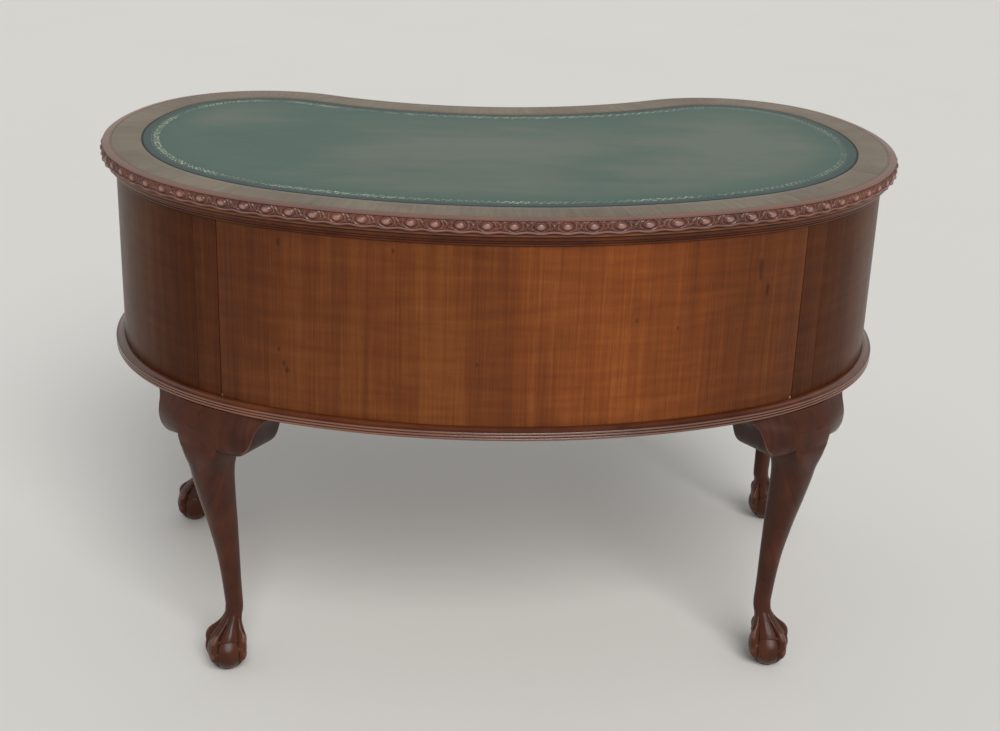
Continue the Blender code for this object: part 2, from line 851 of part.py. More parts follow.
def drawers():
    board_top = dust_board_height + dust_board_thickness
    upper = (board_top + seat_gap, case_top - slide_gap)
    lower = (base_height + moulding_height + seat_gap, dust_board_height - slide_gap)
    # Middle drawer
    reach = kneehole_half_width + runner_ledge - slide_gap
    outer_start = hollow_distance(reach, case_inset)
    inner_start = hollow_distance(reach, case_inset + front_thickness)
    outer = spread(outer_start, half_way, front_columns)
    inner = spread(inner_start, half_way, front_columns)
    half_outer = [spot(mark, case_inset) for mark in outer]
    half_inner = [spot(mark, case_inset + front_thickness) for mark in inner]
    plan = [(p.x, p.y) for p in half_outer]
    plan += [(-p.x, p.y) for p in reversed(half_outer[:-1])]
    plan += [(-p.x, p.y) for p in half_inner]
    plan += [(p.x, p.y) for p in reversed(half_inner[:-1])]
    bow_y = spot(bow_distance(reach, panel_inset), panel_inset).y
    drawer_parts("middle", plan, -reach, reach, bow_y + middle_back_room, upper[0], upper[1])
    handle("middle", 0.0, (upper[0] + upper[1]) / 2, hollow_face_y)
    # Bank drawers
    wall = panel_far + slide_gap
    post_end = drawer_side_far + side_gap(drawer_post_distance, slide_gap)
    outer = spread(post_end, hollow_distance(wall, case_inset), front_columns)
    inner = spread(post_end, hollow_distance(wall, case_inset + front_thickness), front_columns)
    post_corner = spot(drawer_side_far, post_inset)
    x_high = post_corner.x - slide_gap
    end_wall = bow_distance(x_high + slide_gap, panel_inset)
    back_y = max(spot(end_wall, panel_inset).y, spot(bow_side_far, post_inset).y) + bank_back_room
    middle_x = spot(distance_at_heading(math.pi), case_inset).x
    for level, (low, high) in (("upper", upper), ("lower", lower)):
        for side_name, side in (("left", -1), ("right", 1)):
            name = f"{side_name}_{level}"
            ends = sorted((side * wall, side * x_high))
            drawer_parts(name, front_plan(outer, inner, side), ends[0], ends[1], back_y, low, high)
            handle(name, side * middle_x, (low + high) / 2, hollow_face_y)


clear_scene()
top_board()
leather()
carved_edge()
panels()
base_moulding()
legs()
bank_boards()
drawers()
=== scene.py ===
import math

import bmesh
import bpy
from mathutils import Matrix, Vector


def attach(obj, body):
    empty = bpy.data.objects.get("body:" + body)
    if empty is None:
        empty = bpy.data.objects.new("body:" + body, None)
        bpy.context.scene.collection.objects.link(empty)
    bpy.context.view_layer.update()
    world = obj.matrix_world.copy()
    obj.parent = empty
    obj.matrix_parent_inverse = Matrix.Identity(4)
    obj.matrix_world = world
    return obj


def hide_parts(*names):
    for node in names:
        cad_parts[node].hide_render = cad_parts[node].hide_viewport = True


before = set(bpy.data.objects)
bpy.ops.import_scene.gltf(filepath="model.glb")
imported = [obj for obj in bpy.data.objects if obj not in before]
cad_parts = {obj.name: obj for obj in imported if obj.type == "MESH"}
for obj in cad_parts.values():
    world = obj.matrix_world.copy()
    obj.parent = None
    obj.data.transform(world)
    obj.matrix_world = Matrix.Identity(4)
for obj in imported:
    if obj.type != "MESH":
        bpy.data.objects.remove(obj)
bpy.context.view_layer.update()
print("frame loaded with", len(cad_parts), "nodes")


# pairs of (place, value) from a flat row of numbers: places in mm, values too unless unit says otherwise
def table(*numbers, unit=1000):
    return tuple((place / 1000, value / unit) for place, value in zip(numbers[::2], numbers[1::2]))


# metres, the bow side looks toward -Y, the hollow side toward +Y
desk = {
    "length": 1.22,
    "baseHeight": 0.434,
    "caseTop": 0.713,
    "caseInset": 0.0228,
    "seatGap": 0.0003,
    "radiusShares": (0.75, 0.374, 0.3076, 0.1807),  # bow, shoulder, end, lobe
    "turns": (22.87, 21.29, 75.0, 88.56),
}


# the arcs of one half of the outline, from the middle of the bow to the middle of the hollow
def outlineArcs(scale):
    arcs = []
    distance = heading = x = y = 0.0
    for share, degrees in zip(desk["radiusShares"], desk["turns"]):
        radius = share * scale
        turn = math.radians(degrees)
        centreX = x - radius * math.sin(heading)
        centreY = y + radius * math.cos(heading)
        arcs.append((distance, centreX, centreY, radius, heading, 1))
        distance += radius * turn
        heading += turn
        x = centreX + radius * math.sin(heading)
        y = centreY - radius * math.cos(heading)
    hollow = heading - math.pi
    radius = x / math.sin(hollow)
    arcs.append((distance, 0.0, y + radius * math.cos(hollow), radius, heading, -1))
    return arcs, distance + radius * hollow


plainEnd = outlineArcs(desk["length"])[0][2]
outlineScale = desk["length"] * (desk["length"] / 2) / (plainEnd[1] + plainEnd[3])
outline, halfWay = outlineArcs(outlineScale)
centreShift = (outline[3][2] + outline[3][3]) / 2


def arcAt(distance):
    chosen = outline[0]
    for arc in outline:
        if arc[0] <= distance:
            chosen = arc
    return chosen


def headingAt(distance):
    start, centreX, centreY, radius, heading, sign = arcAt(abs(distance))
    return heading + sign * (abs(distance) - start) / radius


# a point of the plan: distance along the outer line from the middle of the bow, and how far in
def planPoint(distance, inset):
    if distance > halfWay:
        distance -= 2 * halfWay
    start, centreX, centreY, radius, heading, sign = arcAt(abs(distance))
    turned = heading + sign * (abs(distance) - start) / radius
    reach = sign * radius - inset
    x = centreX + reach * math.sin(turned)
    y = centreY - reach * math.cos(turned) - centreShift
    return (-x if distance < 0 else x), y


def bisect(test, low, high):
    for turn in range(50):
        middle = (low + high) / 2
        if test(middle):
            low = middle
        else:
            high = middle
    return (low + high) / 2


endDistance = bisect(lambda d: headingAt(d) < math.pi / 2, 0.0, outline[4][0])


def hollowDistance(x, inset):
    return bisect(lambda d: planPoint(d, inset)[0] > x, endDistance, halfWay)


def smooth(share):
    held = min(max(share, 0.0), 1.0)
    return held * held * (3 - 2 * held)


# a soft bump: 1 at the middle, gone at about twice the width
def bell(place, middle, width):
    return math.exp(-((place - middle) / width) ** 2)


# smooth reading of a short table of (place, value), without overshoot
def readTable(pairs, place):
    if place <= pairs[0][0]:
        return pairs[0][1]
    if place >= pairs[-1][0]:
        return pairs[-1][1]
    index = 0
    while place > pairs[index + 1][0]:
        index += 1

    def slope(at):
        return (pairs[at + 1][1] - pairs[at][1]) / (pairs[at + 1][0] - pairs[at][0])

    def tangent(at):
        if at == 0 or at == len(pairs) - 1:
            return slope(min(at, len(pairs) - 2))
        before, after = slope(at - 1), slope(at)
        return 0.0 if before * after <= 0 else 2 * before * after / (before + after)

    (low, lowValue), (high, highValue) = pairs[index], pairs[index + 1]
    width = high - low
    share = (place - low) / width
    rest = 1 - share
    return (lowValue * rest * rest * (1 + 2 * share) + highValue * share * share * (1 + 2 * rest)
            + width * share * rest * (tangent(index) * rest - tangent(index + 1) * share))


# one socket of a finish; sums written on it become Math nodes
class Wire:
    def __init__(self, finish, socket):
        self.finish = finish
        self.socket = socket

    def maths(self, operation, second=0.0, first=None, clamp=False):
        return self.finish.node("ShaderNodeMath", {0: self if first is None else first, 1: second},
                                operation=operation, use_clamp=clamp)

    def __add__(self, other):
        return self.maths("ADD", other)

    def __sub__(self, other):
        return self.maths("SUBTRACT", other)

    def __rsub__(self, other):
        return self.maths("SUBTRACT", self, other)

    def __mul__(self, other):
        return self.maths("MULTIPLY", other)

    def __truediv__(self, other):
        return self.maths("DIVIDE", other)

    def size(self):
        return self.maths("ABSOLUTE")

    def sine(self):
        return self.maths("SINE")

    def held(self):
        return self.maths("ADD", clamp=True)

    # 0 below low, 1 above high, smooth between
    def rise(self, low, high):
        return self.finish.node("ShaderNodeMapRange", {"Value": self, "From Min": low, "From Max": high},
                                interpolation_type="SMOOTHSTEP")


class Finish:
    def __init__(self, name):
        self.material = bpy.data.materials.new(name)
        self.material.use_nodes = True
        self.tree = self.material.node_tree

    # links a Wire, gives a colour its alpha, and sets anything else as it is
    def feed(self, socket, value):
        if isinstance(value, Wire):
            self.tree.links.new(value.socket, socket)
        else:
            socket.default_value = (*value, 1.0) if socket.type == "RGBA" else value

    def node(self, kind, inputs, output=0, **settings):
        made = self.tree.nodes.new(kind)
        for key, value in settings.items():
            setattr(made, key, value)
        for key, value in inputs.items():
            self.feed(made.inputs[key], value)
        return Wire(self, made.outputs[output])

    # the UV map, in metres
    def flat(self):
        return self.node("ShaderNodeUVMap", {}, uv_map="UVMap")

    def solid(self):
        return self.node("ShaderNodeTexCoord", {}, "Object")

    def stretched(self, place, scale, offset=(0.0, 0.0, 0.0)):
        return self.node("ShaderNodeMapping", {"Vector": place, "Scale": scale, "Location": offset})

    # cloudy noise; one number as scale is the same every way, two are for the UV map
    def noise(self, place, scale, detail=3.0, roughness=0.5, offset=(0.0, 0.0, 0.0), distortion=0.0):
        wide = (scale, scale, scale) if isinstance(scale, float) else (*scale, 1.0)[:3]
        return self.node("ShaderNodeTexNoise", {"Vector": self.stretched(place, wide, offset), "Scale": 1.0,
                                                "Detail": detail, "Roughness": roughness,
                                                "Distortion": distortion})

    def part(self, place, axis):
        return self.node("ShaderNodeSeparateXYZ", {0: place}, axis)

    # how far a place of the UV map is from one spot; squeeze shortens the way up
    def away(self, flat, x, z, squeeze=1.0):
        return self.node("ShaderNodeVectorMath", {0: self.stretched(flat, (1.0, squeeze, 0.0)),
                                                  1: (x, z * squeeze, 0.0)}, "Value", operation="DISTANCE")

    def ramp(self, place, stops):
        wire = self.node("ShaderNodeValToRGB", {0: place})
        elements = wire.socket.node.color_ramp.elements
        elements.remove(elements[-1])
        elements[0].position = stops[0][0]
        elements[0].color = (*stops[0][1], 1.0)
        for at, colour in stops[1:]:
            elements.new(at).color = (*colour, 1.0)
        return wire

    # from the dark over the middle to the light colour of a look
    def wood(self, figure, look, low=0.34, high=0.66):
        return self.ramp(figure, ((low, look["dark"]), (0.50, look["middle"]), (high, look["light"])))

    def mix(self, share, first, second, how="MIX"):
        return self.node("ShaderNodeMix", {0: share, 6: first, 7: second}, 2, data_type="RGBA", blend_type=how)

    def toned(self, base, tone):
        return base if tone == 1.0 else self.mix(1.0, base, (tone, tone, tone), "MULTIPLY")

    def bump(self, height, strength, distance, under=None):
        inputs = {"Height": height, "Strength": strength, "Distance": distance}
        if under:
            inputs["Normal"] = under
        return self.node("ShaderNodeBump", inputs)

    def close(self, base, roughness, normal=None, polish=0.5, metallic=0.0):
        shader = self.tree.nodes["Principled BSDF"]
        for name, value in (("Base Color", base), ("Roughness", roughness), ("Normal", normal),
                            ("Specular IOR Level", polish), ("Metallic", metallic)):
            if value is not None:
                self.feed(shader.inputs[name], value)
        return self.material


# moves a texture, so that no two pieces show the same figure
def textureShift(offset):
    return offset, offset * 0.7, offset * 1.3


veneerLook = {
    "dark": (0.066, 0.0140, 0.0024),
    "middle": (0.145, 0.0360, 0.0060),
    "light": (0.232, 0.0740, 0.0150),
    "pore": (0.030, 0.008, 0.003),
    "chip": (0.42, 0.33, 0.27),
    "roughness": 0.25,
    "poreDepth": 0.00004,
    # distance along the bow, height, size
    "knots": ((0.3585, 0.6690, 0.0036), (0.3588, 0.6590, 0.0034), (0.3592, 0.6490, 0.0030),
              (0.3735, 0.6330, 0.0034), (0.3732, 0.6240, 0.0030), (-0.3412, 0.6952, 0.0032),
              (-0.3429, 0.5394, 0.0018), (-0.3356, 0.5196, 0.0026), (-0.3311, 0.5097, 0.0028),
              (-0.1757, 0.6990, 0.0022), (-0.0564, 0.5416, 0.0018), (0.1683, 0.6022, 0.0018),
              (0.2311, 0.5873, 0.0018)),
    "chips": ((-0.4430, 0.4522, 0.0028), (0.4405, 0.4515, 0.0024)),
    # painted light along the bow: a painted sheen lightens it right of the middle, painted shade darkens it toward both
    # ends
    "paintedLightAlong": table(-460, 0.62, -380, 0.72, -200, 0.92, -20, 1, 5, 1.18, 160, 1.44, 260, 1.16, 340, 0.86, 460, 0.66,
                   unit=1),
}


# veneer with its grain up the second coordinate of the UV map; marked is for the bow, with its knots, chips and painted
# light along it
def veneerFinish(name, offset, tone=1.0, polish=0.12, marked=False):
    look = veneerLook
    finish = Finish(name)
    flat = finish.flat()
    shift = textureShift(offset)
    sway = finish.noise(flat, (5.0, 2.2), 2.0, offset=shift)
    patch = finish.noise(flat, (7.0, 0.9), offset=shift)
    streak = finish.noise(flat, (46.0, 1.5), 4.0, 0.6, shift, 0.25)
    line = finish.noise(flat, (300.0, 5.0), 4.0, 0.65, shift)
    ripple = finish.noise(flat, (9.0, 70.0), 2.0, offset=shift)
    pores = finish.noise(flat, (1500.0, 60.0), 2.0, offset=shift).rise(0.60, 0.72)
    figure = patch * 0.34 + streak * 0.28 + line * 0.24 + sway * 0.14 + (ripple - 0.5) * 0.16
    base = finish.toned(finish.mix(pores * 0.45, finish.wood(figure, look), look["pore"]), tone)
    if marked:
        for x, z, size in look["knots"]:
            spot = 1.0 - finish.away(flat, x, z, 0.6).rise(size * 0.3, size * 1.7)
            base = finish.mix(spot * 0.6, base, look["pore"])
        # painted light along the bow: a tone ramp by distance, lighter where a sheen is painted, darker where shade is
        # painted
        low, high = look["paintedLightAlong"][0][0], look["paintedLightAlong"][-1][0]
        along = (finish.part(flat, "X") + (sway - 0.5) * 0.05 - low) / (high - low)
        stops = tuple(((at - low) / (high - low), (share, share, share)) for at, share in look["paintedLightAlong"])
        base = finish.mix(1.0, base, finish.ramp(along, stops), "MULTIPLY")
        for x, z, size in look["chips"]:
            ragged = finish.away(flat, x, z) + (streak - 0.5) * 0.003
            base = finish.mix((1.0 - ragged.rise(size * 0.5, size)) * 0.8, base, look["chip"])
    smear = finish.noise(finish.solid(), (14.0, 14.0, 9.0))
    return finish.close(base, smear * 0.16 + pores * 0.12 + look["roughness"],
                        finish.bump(line * 0.4 - pores, 0.35, look["poreDepth"]), polish)


mahoganyLook = {
    "dark": (0.034, 0.0078, 0.0030),
    "middle": (0.078, 0.0190, 0.0066),
    "light": (0.145, 0.0390, 0.0125),
    "grimeAndShade": (0.014, 0.0050, 0.0035),
    "wornAndSheen": (0.280, 0.1380, 0.1100),
}


# solid dark mahogany; grain is the UV coordinate that it follows; the relief paints shade into hollows, with some
# grime, and paints crests lighter, as wear and painted highlight
def mahoganyFinish(name, grain, offset, tone, wearAndSheen, polish, grimeAndShade=0.85, roughness=0.30, wornAndSheen=mahoganyLook["wornAndSheen"],
                   evenSheen=0.0):
    look = mahoganyLook
    finish = Finish(name)
    flat = finish.flat()
    shift = textureShift(offset)
    turn = -1 if grain else 1
    patch = finish.noise(flat, (2.0, 12.0)[::turn], offset=shift)
    streak = finish.noise(flat, (4.0, 120.0)[::turn], 4.0, 0.6, shift)
    pores = finish.noise(flat, (60.0, 1400.0)[::turn], 2.0, offset=shift).rise(0.58, 0.72)
    cloud = finish.noise(finish.solid(), 22.0, offset=shift)
    base = finish.wood(patch * 0.36 + streak * 0.34 + cloud * 0.30, look)
    base = finish.mix(pores * 0.4, base, look["grimeAndShade"])
    # an even painted sheen: the worn-and-sheen colour laid over the whole piece
    if evenSheen:
        base = finish.mix(evenSheen, base, wornAndSheen)
    height = finish.node("ShaderNodeAttribute", {}, "Fac", attribute_name="relief")
    hollow = 1.0 - height.rise(0.05, 0.55)
    rubAndSheen = height.rise(0.72, 1.0)
    # painted shade in the hollows, where the relief is low, in the dark of grime
    base = finish.mix(hollow * grimeAndShade, base, look["grimeAndShade"])
    # crests are painted light, as wear and painted highlight
    base = finish.toned(finish.mix(rubAndSheen * wearAndSheen, base, wornAndSheen), tone)
    rough = cloud * 0.22 + pores * 0.10 + (roughness - 0.11) + hollow * 0.22 - rubAndSheen * 0.06
    dents = finish.noise(finish.solid(), 38.0, 1.0)
    return finish.close(base, rough, finish.bump(dents * 0.7 - pores * 0.25 + streak * 0.12, 0.2, 0.00018), polish)


borderLook = {
    "dark": (0.102, 0.071, 0.044),
    "middle": (0.154, 0.115, 0.075),
    "light": (0.204, 0.158, 0.108),
    "pore": (0.035, 0.014, 0.007),
    "roughness": 0.26,
}


# the flat border: short grain that runs across it
def borderFinish(name):
    finish = Finish(name)
    flat = finish.flat()
    patch = finish.noise(flat, (5.0, 6.0))
    streak = finish.noise(flat, (150.0, 9.0), 4.0, 0.6)
    pores = finish.noise(flat, (1300.0, 90.0), 2.0).rise(0.60, 0.74)
    base = finish.wood(patch * 0.55 + streak * 0.45, borderLook, 0.36, 0.64)
    base = finish.mix(pores * 0.35, base, borderLook["pore"])
    scuff = finish.noise(finish.solid(), 16.0, 4.0, 0.65)
    return finish.close(base, scuff * 0.20 + pores * 0.08 + borderLook["roughness"],
                        finish.bump(streak * 0.3 - pores, 0.3, 0.00004), 0.30)


leatherLook = {
    "margin": (0.038, 0.076, 0.073),
    # the green is lifted by a painted sheen, and the worn colour is worn hide with painted sheen
    "green": (0.068, 0.128, 0.101),
    "wornAndSheen": (0.140, 0.161, 0.123),
    "gilt": (0.66, 0.70, 0.46),
    "crease": (0.010, 0.024, 0.022),
    "rim": (0.006, 0.012, 0.014),
    # from the outer line of the top: the middle of the tooled band, the fine line, the dark rim
    "bandInset": 0.0835,
    "lineInset": 0.0765,
    "rimInset": 0.0650,
    "bandHalf": 0.0044,
    "pitch": 0.0235,
    "roughness": 0.52,
}


# hide with a tooled and gilt border; the UV map holds the distance along the outline and the inset
def leatherFinish(name):
    look = leatherLook
    finish = Finish(name)
    flat = finish.flat()
    solid = finish.solid()
    along = finish.part(flat, "X")
    inset = finish.part(flat, "Y")
    broad = finish.noise(solid, (3.0, 4.6), 4.0, 0.55, (2.3, 0.4, 0.0))
    smear = finish.noise(solid, (4.0, 30.0), 4.0, 0.6, (0.7, 1.9, 0.0))
    # worn patches in the middle of the hide, which also carry a painted sheen
    rubAndSheen = (broad * 0.62 + smear * 0.38).rise(0.40, 0.62) * inset.rise(0.090, 0.150)
    base = finish.mix(inset.rise(0.070, 0.098), look["margin"], look["green"])
    base = finish.mix(rubAndSheen * 0.75, base, look["wornAndSheen"])
    grain = finish.node("ShaderNodeTexVoronoi", {"Vector": solid, "Scale": 620.0, "Randomness": 1.0},
                        feature="DISTANCE_TO_EDGE")
    base = finish.mix((1.0 - grain.rise(0.0, 0.16)) * 0.30, base, look["crease"])
    # running scroll: two waves that cross, small leaves between them, and one fine line outside
    half = look["bandHalf"]
    turn = along * (2 * math.pi / look["pitch"])
    wave = turn.sine() * (half * 0.72)
    beat = (turn * 2.0).sine()
    fromMiddle = inset - look["bandInset"]
    first = 1.0 - (fromMiddle - wave).size().rise(0.0004, 0.0013)
    second = 1.0 - (fromMiddle + wave).size().rise(0.0003, 0.0011)
    leaf = (1.0 - (fromMiddle - beat * half).size().rise(0.0004, 0.0014)) * beat.size().rise(0.35, 0.8)
    fineLine = 1.0 - (inset - look["lineInset"]).size().rise(0.0002, 0.0007)
    pattern = (first + second * 0.8 + leaf + fineLine * 0.20).held()
    # much of the gilt is rubbed away, more of it toward the right
    kept = finish.noise(flat, (70.0, 260.0), 4.0, 0.75).rise(0.41, 0.56)
    kept = kept * (1.0 - finish.part(solid, "X").rise(0.05, 0.45) * 0.5)
    patchy = finish.noise(flat, (9.0, 20.0), 2.0).rise(0.34, 0.58)
    gilt = (pattern * kept * (patchy * 0.75 + 0.25)).held()
    base = finish.mix(gilt * 0.95, base, look["gilt"])
    rim = 1.0 - inset.rise(look["rimInset"] - 0.0004, look["rimInset"] + 0.0006)
    base = finish.mix(rim, base, look["rim"])
    pressed = finish.bump(pattern * -1.0, 0.5, 0.0002)
    return finish.close(base, (smear - 0.5) * 0.16 + look["roughness"] - gilt * 0.12 - rubAndSheen * 0.06,
                        finish.bump(grain.rise(0.0, 0.3) + broad * 2.0, 0.30, 0.00012, pressed), 0.34, gilt * 0.35)


brassLook = {
    "bright": (0.62, 0.43, 0.18),
    "dull": (0.30, 0.19, 0.075),
    "grimeAndShade": (0.075, 0.050, 0.028),
}


def brassFinish(name):
    finish = Finish(name)
    solid = finish.solid()
    cloud = finish.noise(solid, 90.0, 4.0, 0.6)
    fleck = finish.noise(solid, 900.0)
    relief = finish.node("ShaderNodeAttribute", {}, "Fac", attribute_name="relief")
    hollow = 1.0 - relief.rise(0.1, 0.7)
    base = finish.mix(cloud.rise(0.35, 0.68), brassLook["bright"], brassLook["dull"])
    base = finish.mix(hollow * 0.7, base, brassLook["grimeAndShade"])
    return finish.close(base, cloud * 0.22 + fleck * 0.06 + hollow * 0.2 + 0.14,
                        finish.bump(cloud + fleck * 0.2, 0.2, 0.0001), metallic=1.0 - hollow * 0.35)


liningLook = {
    "dark": (0.250, 0.125, 0.055),
    "middle": (0.400, 0.230, 0.110),
    "light": (0.520, 0.335, 0.180),
}
carcaseLook = {
    "dark": (0.052, 0.0165, 0.0065),
    "middle": (0.105, 0.036, 0.0135),
    "light": (0.165, 0.062, 0.024),
}


# plain planed wood read from object coordinates; its grain follows one axis
def plainFinish(name, axis, look, roughness, offset=0.0, polish=0.2):
    finish = Finish(name)
    solid = finish.solid()
    shift = (offset, offset, offset)
    ring = finish.noise(solid, [1.2 if way == axis else 14.0 for way in "XYZ"], 3.0, 0.55, shift, 0.4)
    line = finish.noise(solid, [5.0 if way == axis else 170.0 for way in "XYZ"], 4.0, 0.6, shift)
    stain = finish.noise(solid, 5.0).rise(0.55, 0.8)
    base = finish.wood(ring * 0.55 + line * 0.45, look, 0.36)
    base = finish.mix(stain * 0.25, base, look["dark"])
    return finish.close(base, line * 0.12 + roughness, finish.bump(line, 0.3, 0.0001), polish)


# a grid whose corner (column, row) goes where place says: a point, a UV in metres and a relief; what meets is
# welded, and what is left open is closed
def gridShape(columns, rows, place, fillUv=(0.0, 0.0)):
    shape = bmesh.new()
    flat = shape.loops.layers.uv.new("UVMap")
    relief = shape.verts.layers.float.new("relief")
    for vertex in bmesh.ops.create_grid(shape, x_segments=columns, y_segments=rows, size=0.5)["verts"]:
        column = round((vertex.co.x + 0.5) * columns)
        row = round((vertex.co.y + 0.5) * rows)
        vertex.co, uv, vertex[relief] = place(column, row)
        for loop in vertex.link_loops:
            loop[flat].uv = uv
    bmesh.ops.remove_doubles(shape, verts=shape.verts, dist=0.00003)
    rims = [edge for edge in shape.edges if edge.is_boundary]
    for face in bmesh.ops.holes_fill(shape, edges=rims, sides=0)["faces"]:
        for loop in face.loops:
            loop[flat].uv = fillUv or (loop.vert.co.x, loop.vert.co.y)
    return shape


def finishPiece(shape, name, material, body, node, sharp):
    bmesh.ops.recalc_face_normals(shape, faces=shape.faces)
    mesh = bpy.data.meshes.new(name)
    shape.to_mesh(mesh)
    shape.free()
    mesh.materials.append(material)
    mesh.shade_smooth()
    mesh.set_sharp_from_angle(angle=math.radians(sharp))
    piece = bpy.data.objects.new(name, mesh)
    bpy.context.scene.collection.objects.link(piece)
    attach(piece, body)
    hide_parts(node)
    return piece


# gives some faces of a piece a second material
def dressFaces(piece, material, test):
    piece.data.materials.append(material)
    for face in piece.data.polygons:
        if test(face):
            face.material_index = 1


def spread(low, high, count):
    return [low + (high - low) * index / count for index in range(count + 1)]


# a section of (inset, height) points swept along the outer line from -reach to reach, open or as a tube; carve may
# move a point and change its relief
def sweep(section, relief, columns, reach=halfWay, tube=False, carve=None, insetUv=False, fillUv=(0.0, 0.0)):
    across = [0.0]
    for (inset, z), (nextInset, nextZ) in zip(section, section[1:]):
        across.append(across[-1] + math.hypot(nextInset - inset, nextZ - z))
    if insetUv:
        across = [inset for inset, z in section]

    def place(column, row):
        row %= len(section)
        distance = -reach + 2 * reach * column / columns
        inset, z = section[row]
        height = relief[row]
        if carve:
            inset, z, height = carve(distance, row, inset, z, height)
        x, y = planPoint(distance, inset)
        return (x, y, z), (distance, across[row]), height

    return gridShape(columns, len(section) - (0 if tube else 1), place, fillUv)


# border, seat of the leather, and the cove frame under the edge
topFrame = {
    "section": table(61.5, 753.3, 61.5, 754.5, 61.3, 754.85, 60.9, 755, 50, 755, 40, 755, 30, 755, 18.2, 755,
                     17.6, 754.95, 17.55, 753, 17.55, 735.2, 7.4, 735.2, 6.8, 734.8, 6.6, 733, 6.8, 730.6, 7.2, 730,
                     8.6, 729.7, 9, 729, 9.2, 727.2, 10, 725.2, 11.4, 723.6, 13.2, 722.6, 14.6, 722.2, 14.8, 721.6,
                     15.4, 720, 16.8, 718.4, 18.6, 717.4, 19, 717.1, 18.6, 716.2, 18.6, 715, 19.2, 714.1, 20.4, 713.6,
                     21.6, 713.3, 22.8, 713, 50, 713, 50, 735.5),
    # how light each line of the section is painted: wear and painted highlight on the beads, painted shade under the
    # edge and in the coves
    "relief": (0.7,) * 11 + (0.03, 0.35, 0.85, 1.0, 0.5, 0.08, 0.08, 0.45, 0.70, 0.85, 0.60, 0.35, 0.05, 0.50, 0.60,
                             0.30, 0.05, 0.35, 0.60, 0.50, 0.3, 0.12, 0.04, 0.04, 0.04),
    "coveTop": 0.7354,
    "coveFinish": {"tone": 1.35, "wearAndSheen": 0.34, "polish": 0.14, "grimeAndShade": 0.95, "wornAndSheen": (0.300, 0.140, 0.062)},
    "columns": 470,
}


def buildTop():
    shape = sweep(topFrame["section"], topFrame["relief"], topFrame["columns"], fillUv=None)
    piece = finishPiece(shape, "borderedTop", borderFinish("crossBandedBorder"), "case", "top_board", 30.0)
    dressFaces(piece, mahoganyFinish("coveMahogany", 0, 3.1, **topFrame["coveFinish"]),
               lambda face: face.center.z < topFrame["coveTop"])


leatherSheet = {
    "section": table(62.6, 753.6, 62, 753.8, 62.2, 754.3, 62.9, 754.68, 64.2, 754.8, 72, 754.8, 78, 754.8, 86, 754.8,
                     98, 754.8, 112, 754.8, 130, 754.8, 150, 754.8, 172, 754.8),
    "columns": 470,
}


def buildLeather():
    section = leatherSheet["section"]
    shape = sweep(section, [0.7] * len(section), leatherSheet["columns"], insetUv=True, fillUv=(0.0, section[-1][0]))
    finishPiece(shape, "tooledLeather", leatherFinish("greenLeather"), "case", "leather_inset", 50.0)


carving = {
    # the section above and below the carved band, and how light its lines are painted, as wear, painted highlight and
    # painted shade
    "above": table(17.4, 735.4, 17.4, 754, 17.4, 754.94, 17.1, 755, 15.6, 755, 14.2, 754.9, 11.2, 754.62, 8.2, 754.18,
                   5.6, 753.62, 4.2, 753.05, 4.4, 752.62, 6.2, 752.4, 6.6, 752.15),
    "aboveRelief": (0.1,) * 5 + (0.8,) * 6 + (0.05,) * 2,
    "under": table(4, 738.3, 2.4, 737.9, 1.2, 737.1, 1.1, 736.2, 2, 735.5, 4, 735.2, 10, 735.3),
    "underRelief": (0.85, 1.0, 0.55, 0.2, 0.1, 0.05, 0.05),
    "bandTop": 0.7520,
    "bandBottom": 0.7386,
    "bandRows": 15,
    "ground": 0.0053,  # inset of the ground between the bosses
    "bossCount": 94,
    "columnsPerBoss": 26,
    "bossHalfWidth": 0.0090,
    "bossHalfHeight": 0.0058,
    "bossMiddle": 0.7453,
    "bossProud": 0.0046,
    # round each boss: where in its own radii, how wide, how proud
    "ring": (1.34, 0.14, 0.0022),
    # crossed between two bosses: how far it reaches, how wide, how proud, where it starts, how steep
    "ribbon": (0.0062, 0.0010, 0.0024, 0.0009, 0.95),
    "knot": (0.0012, 0.0016, 0.0010),  # where the ribbons cross: half width, half height, how proud
    "leastProud": 0.0004,
    "leastInset": 0.0001,
    # how the edges wave with the bosses: line above the band, top and foot of the band, inset under it
    "waves": {"line": 0.0004, "top": 0.0005, "foot": 0.0013, "under": 0.0016},
    "rim": (0.92, 1.06, 0.75),  # a ring of painted shade round each boss: from, to in boss radii, share of the relief kept there
    # the top and foot rows of the band are painted darker, as shade
    "edgeRelief": 0.45,
    "finish": {"tone": 1.28, "wearAndSheen": 0.80, "polish": 0.48, "grimeAndShade": 0.66, "wornAndSheen": (0.305, 0.168, 0.146),
               "evenSheen": 0.07},
    # how far the hand-set bosses stray from an even spacing, against distance along the edge
    "drift": table(-1000, 10, -560, 16, -420, 20, -300, 15.5, -180, 10.5, -80, 3.5, 0, 5, 90, 6.5, 170, 13, 250, 23.5,
                   310, 25.5, 420, 17.5, 520, 12.3, 1000, 10),
}


# how far the carving stands out from its ground at a place between two boss middles; reach counts in boss radii
def carvedHeight(beside, above, reach):
    height = carving["leastProud"]
    if reach < 1.0:
        height = max(height, carving["bossProud"] * (1 - reach ** 2.4) ** 0.7)
    where, wide, proud = carving["ring"]
    turn = abs(math.cos(math.atan2(above, abs(beside) + 0.0001)))
    height += proud * bell(reach, where, wide) * turn ** 0.8
    extent, wide, proud, start, slope = carving["ribbon"]
    knotWide, knotTall, knotProud = carving["knot"]
    toMiddle = abs(beside) - halfWay / carving["bossCount"]
    if abs(toMiddle) < extent:
        arm = abs(above) - (start + abs(toMiddle) * slope)
        height += proud * bell(arm, 0, wide) * (1 - (abs(toMiddle) / extent) ** 4)
        height += knotProud * bell(toMiddle, 0, knotWide) * bell(above, 0, knotTall)
    return height


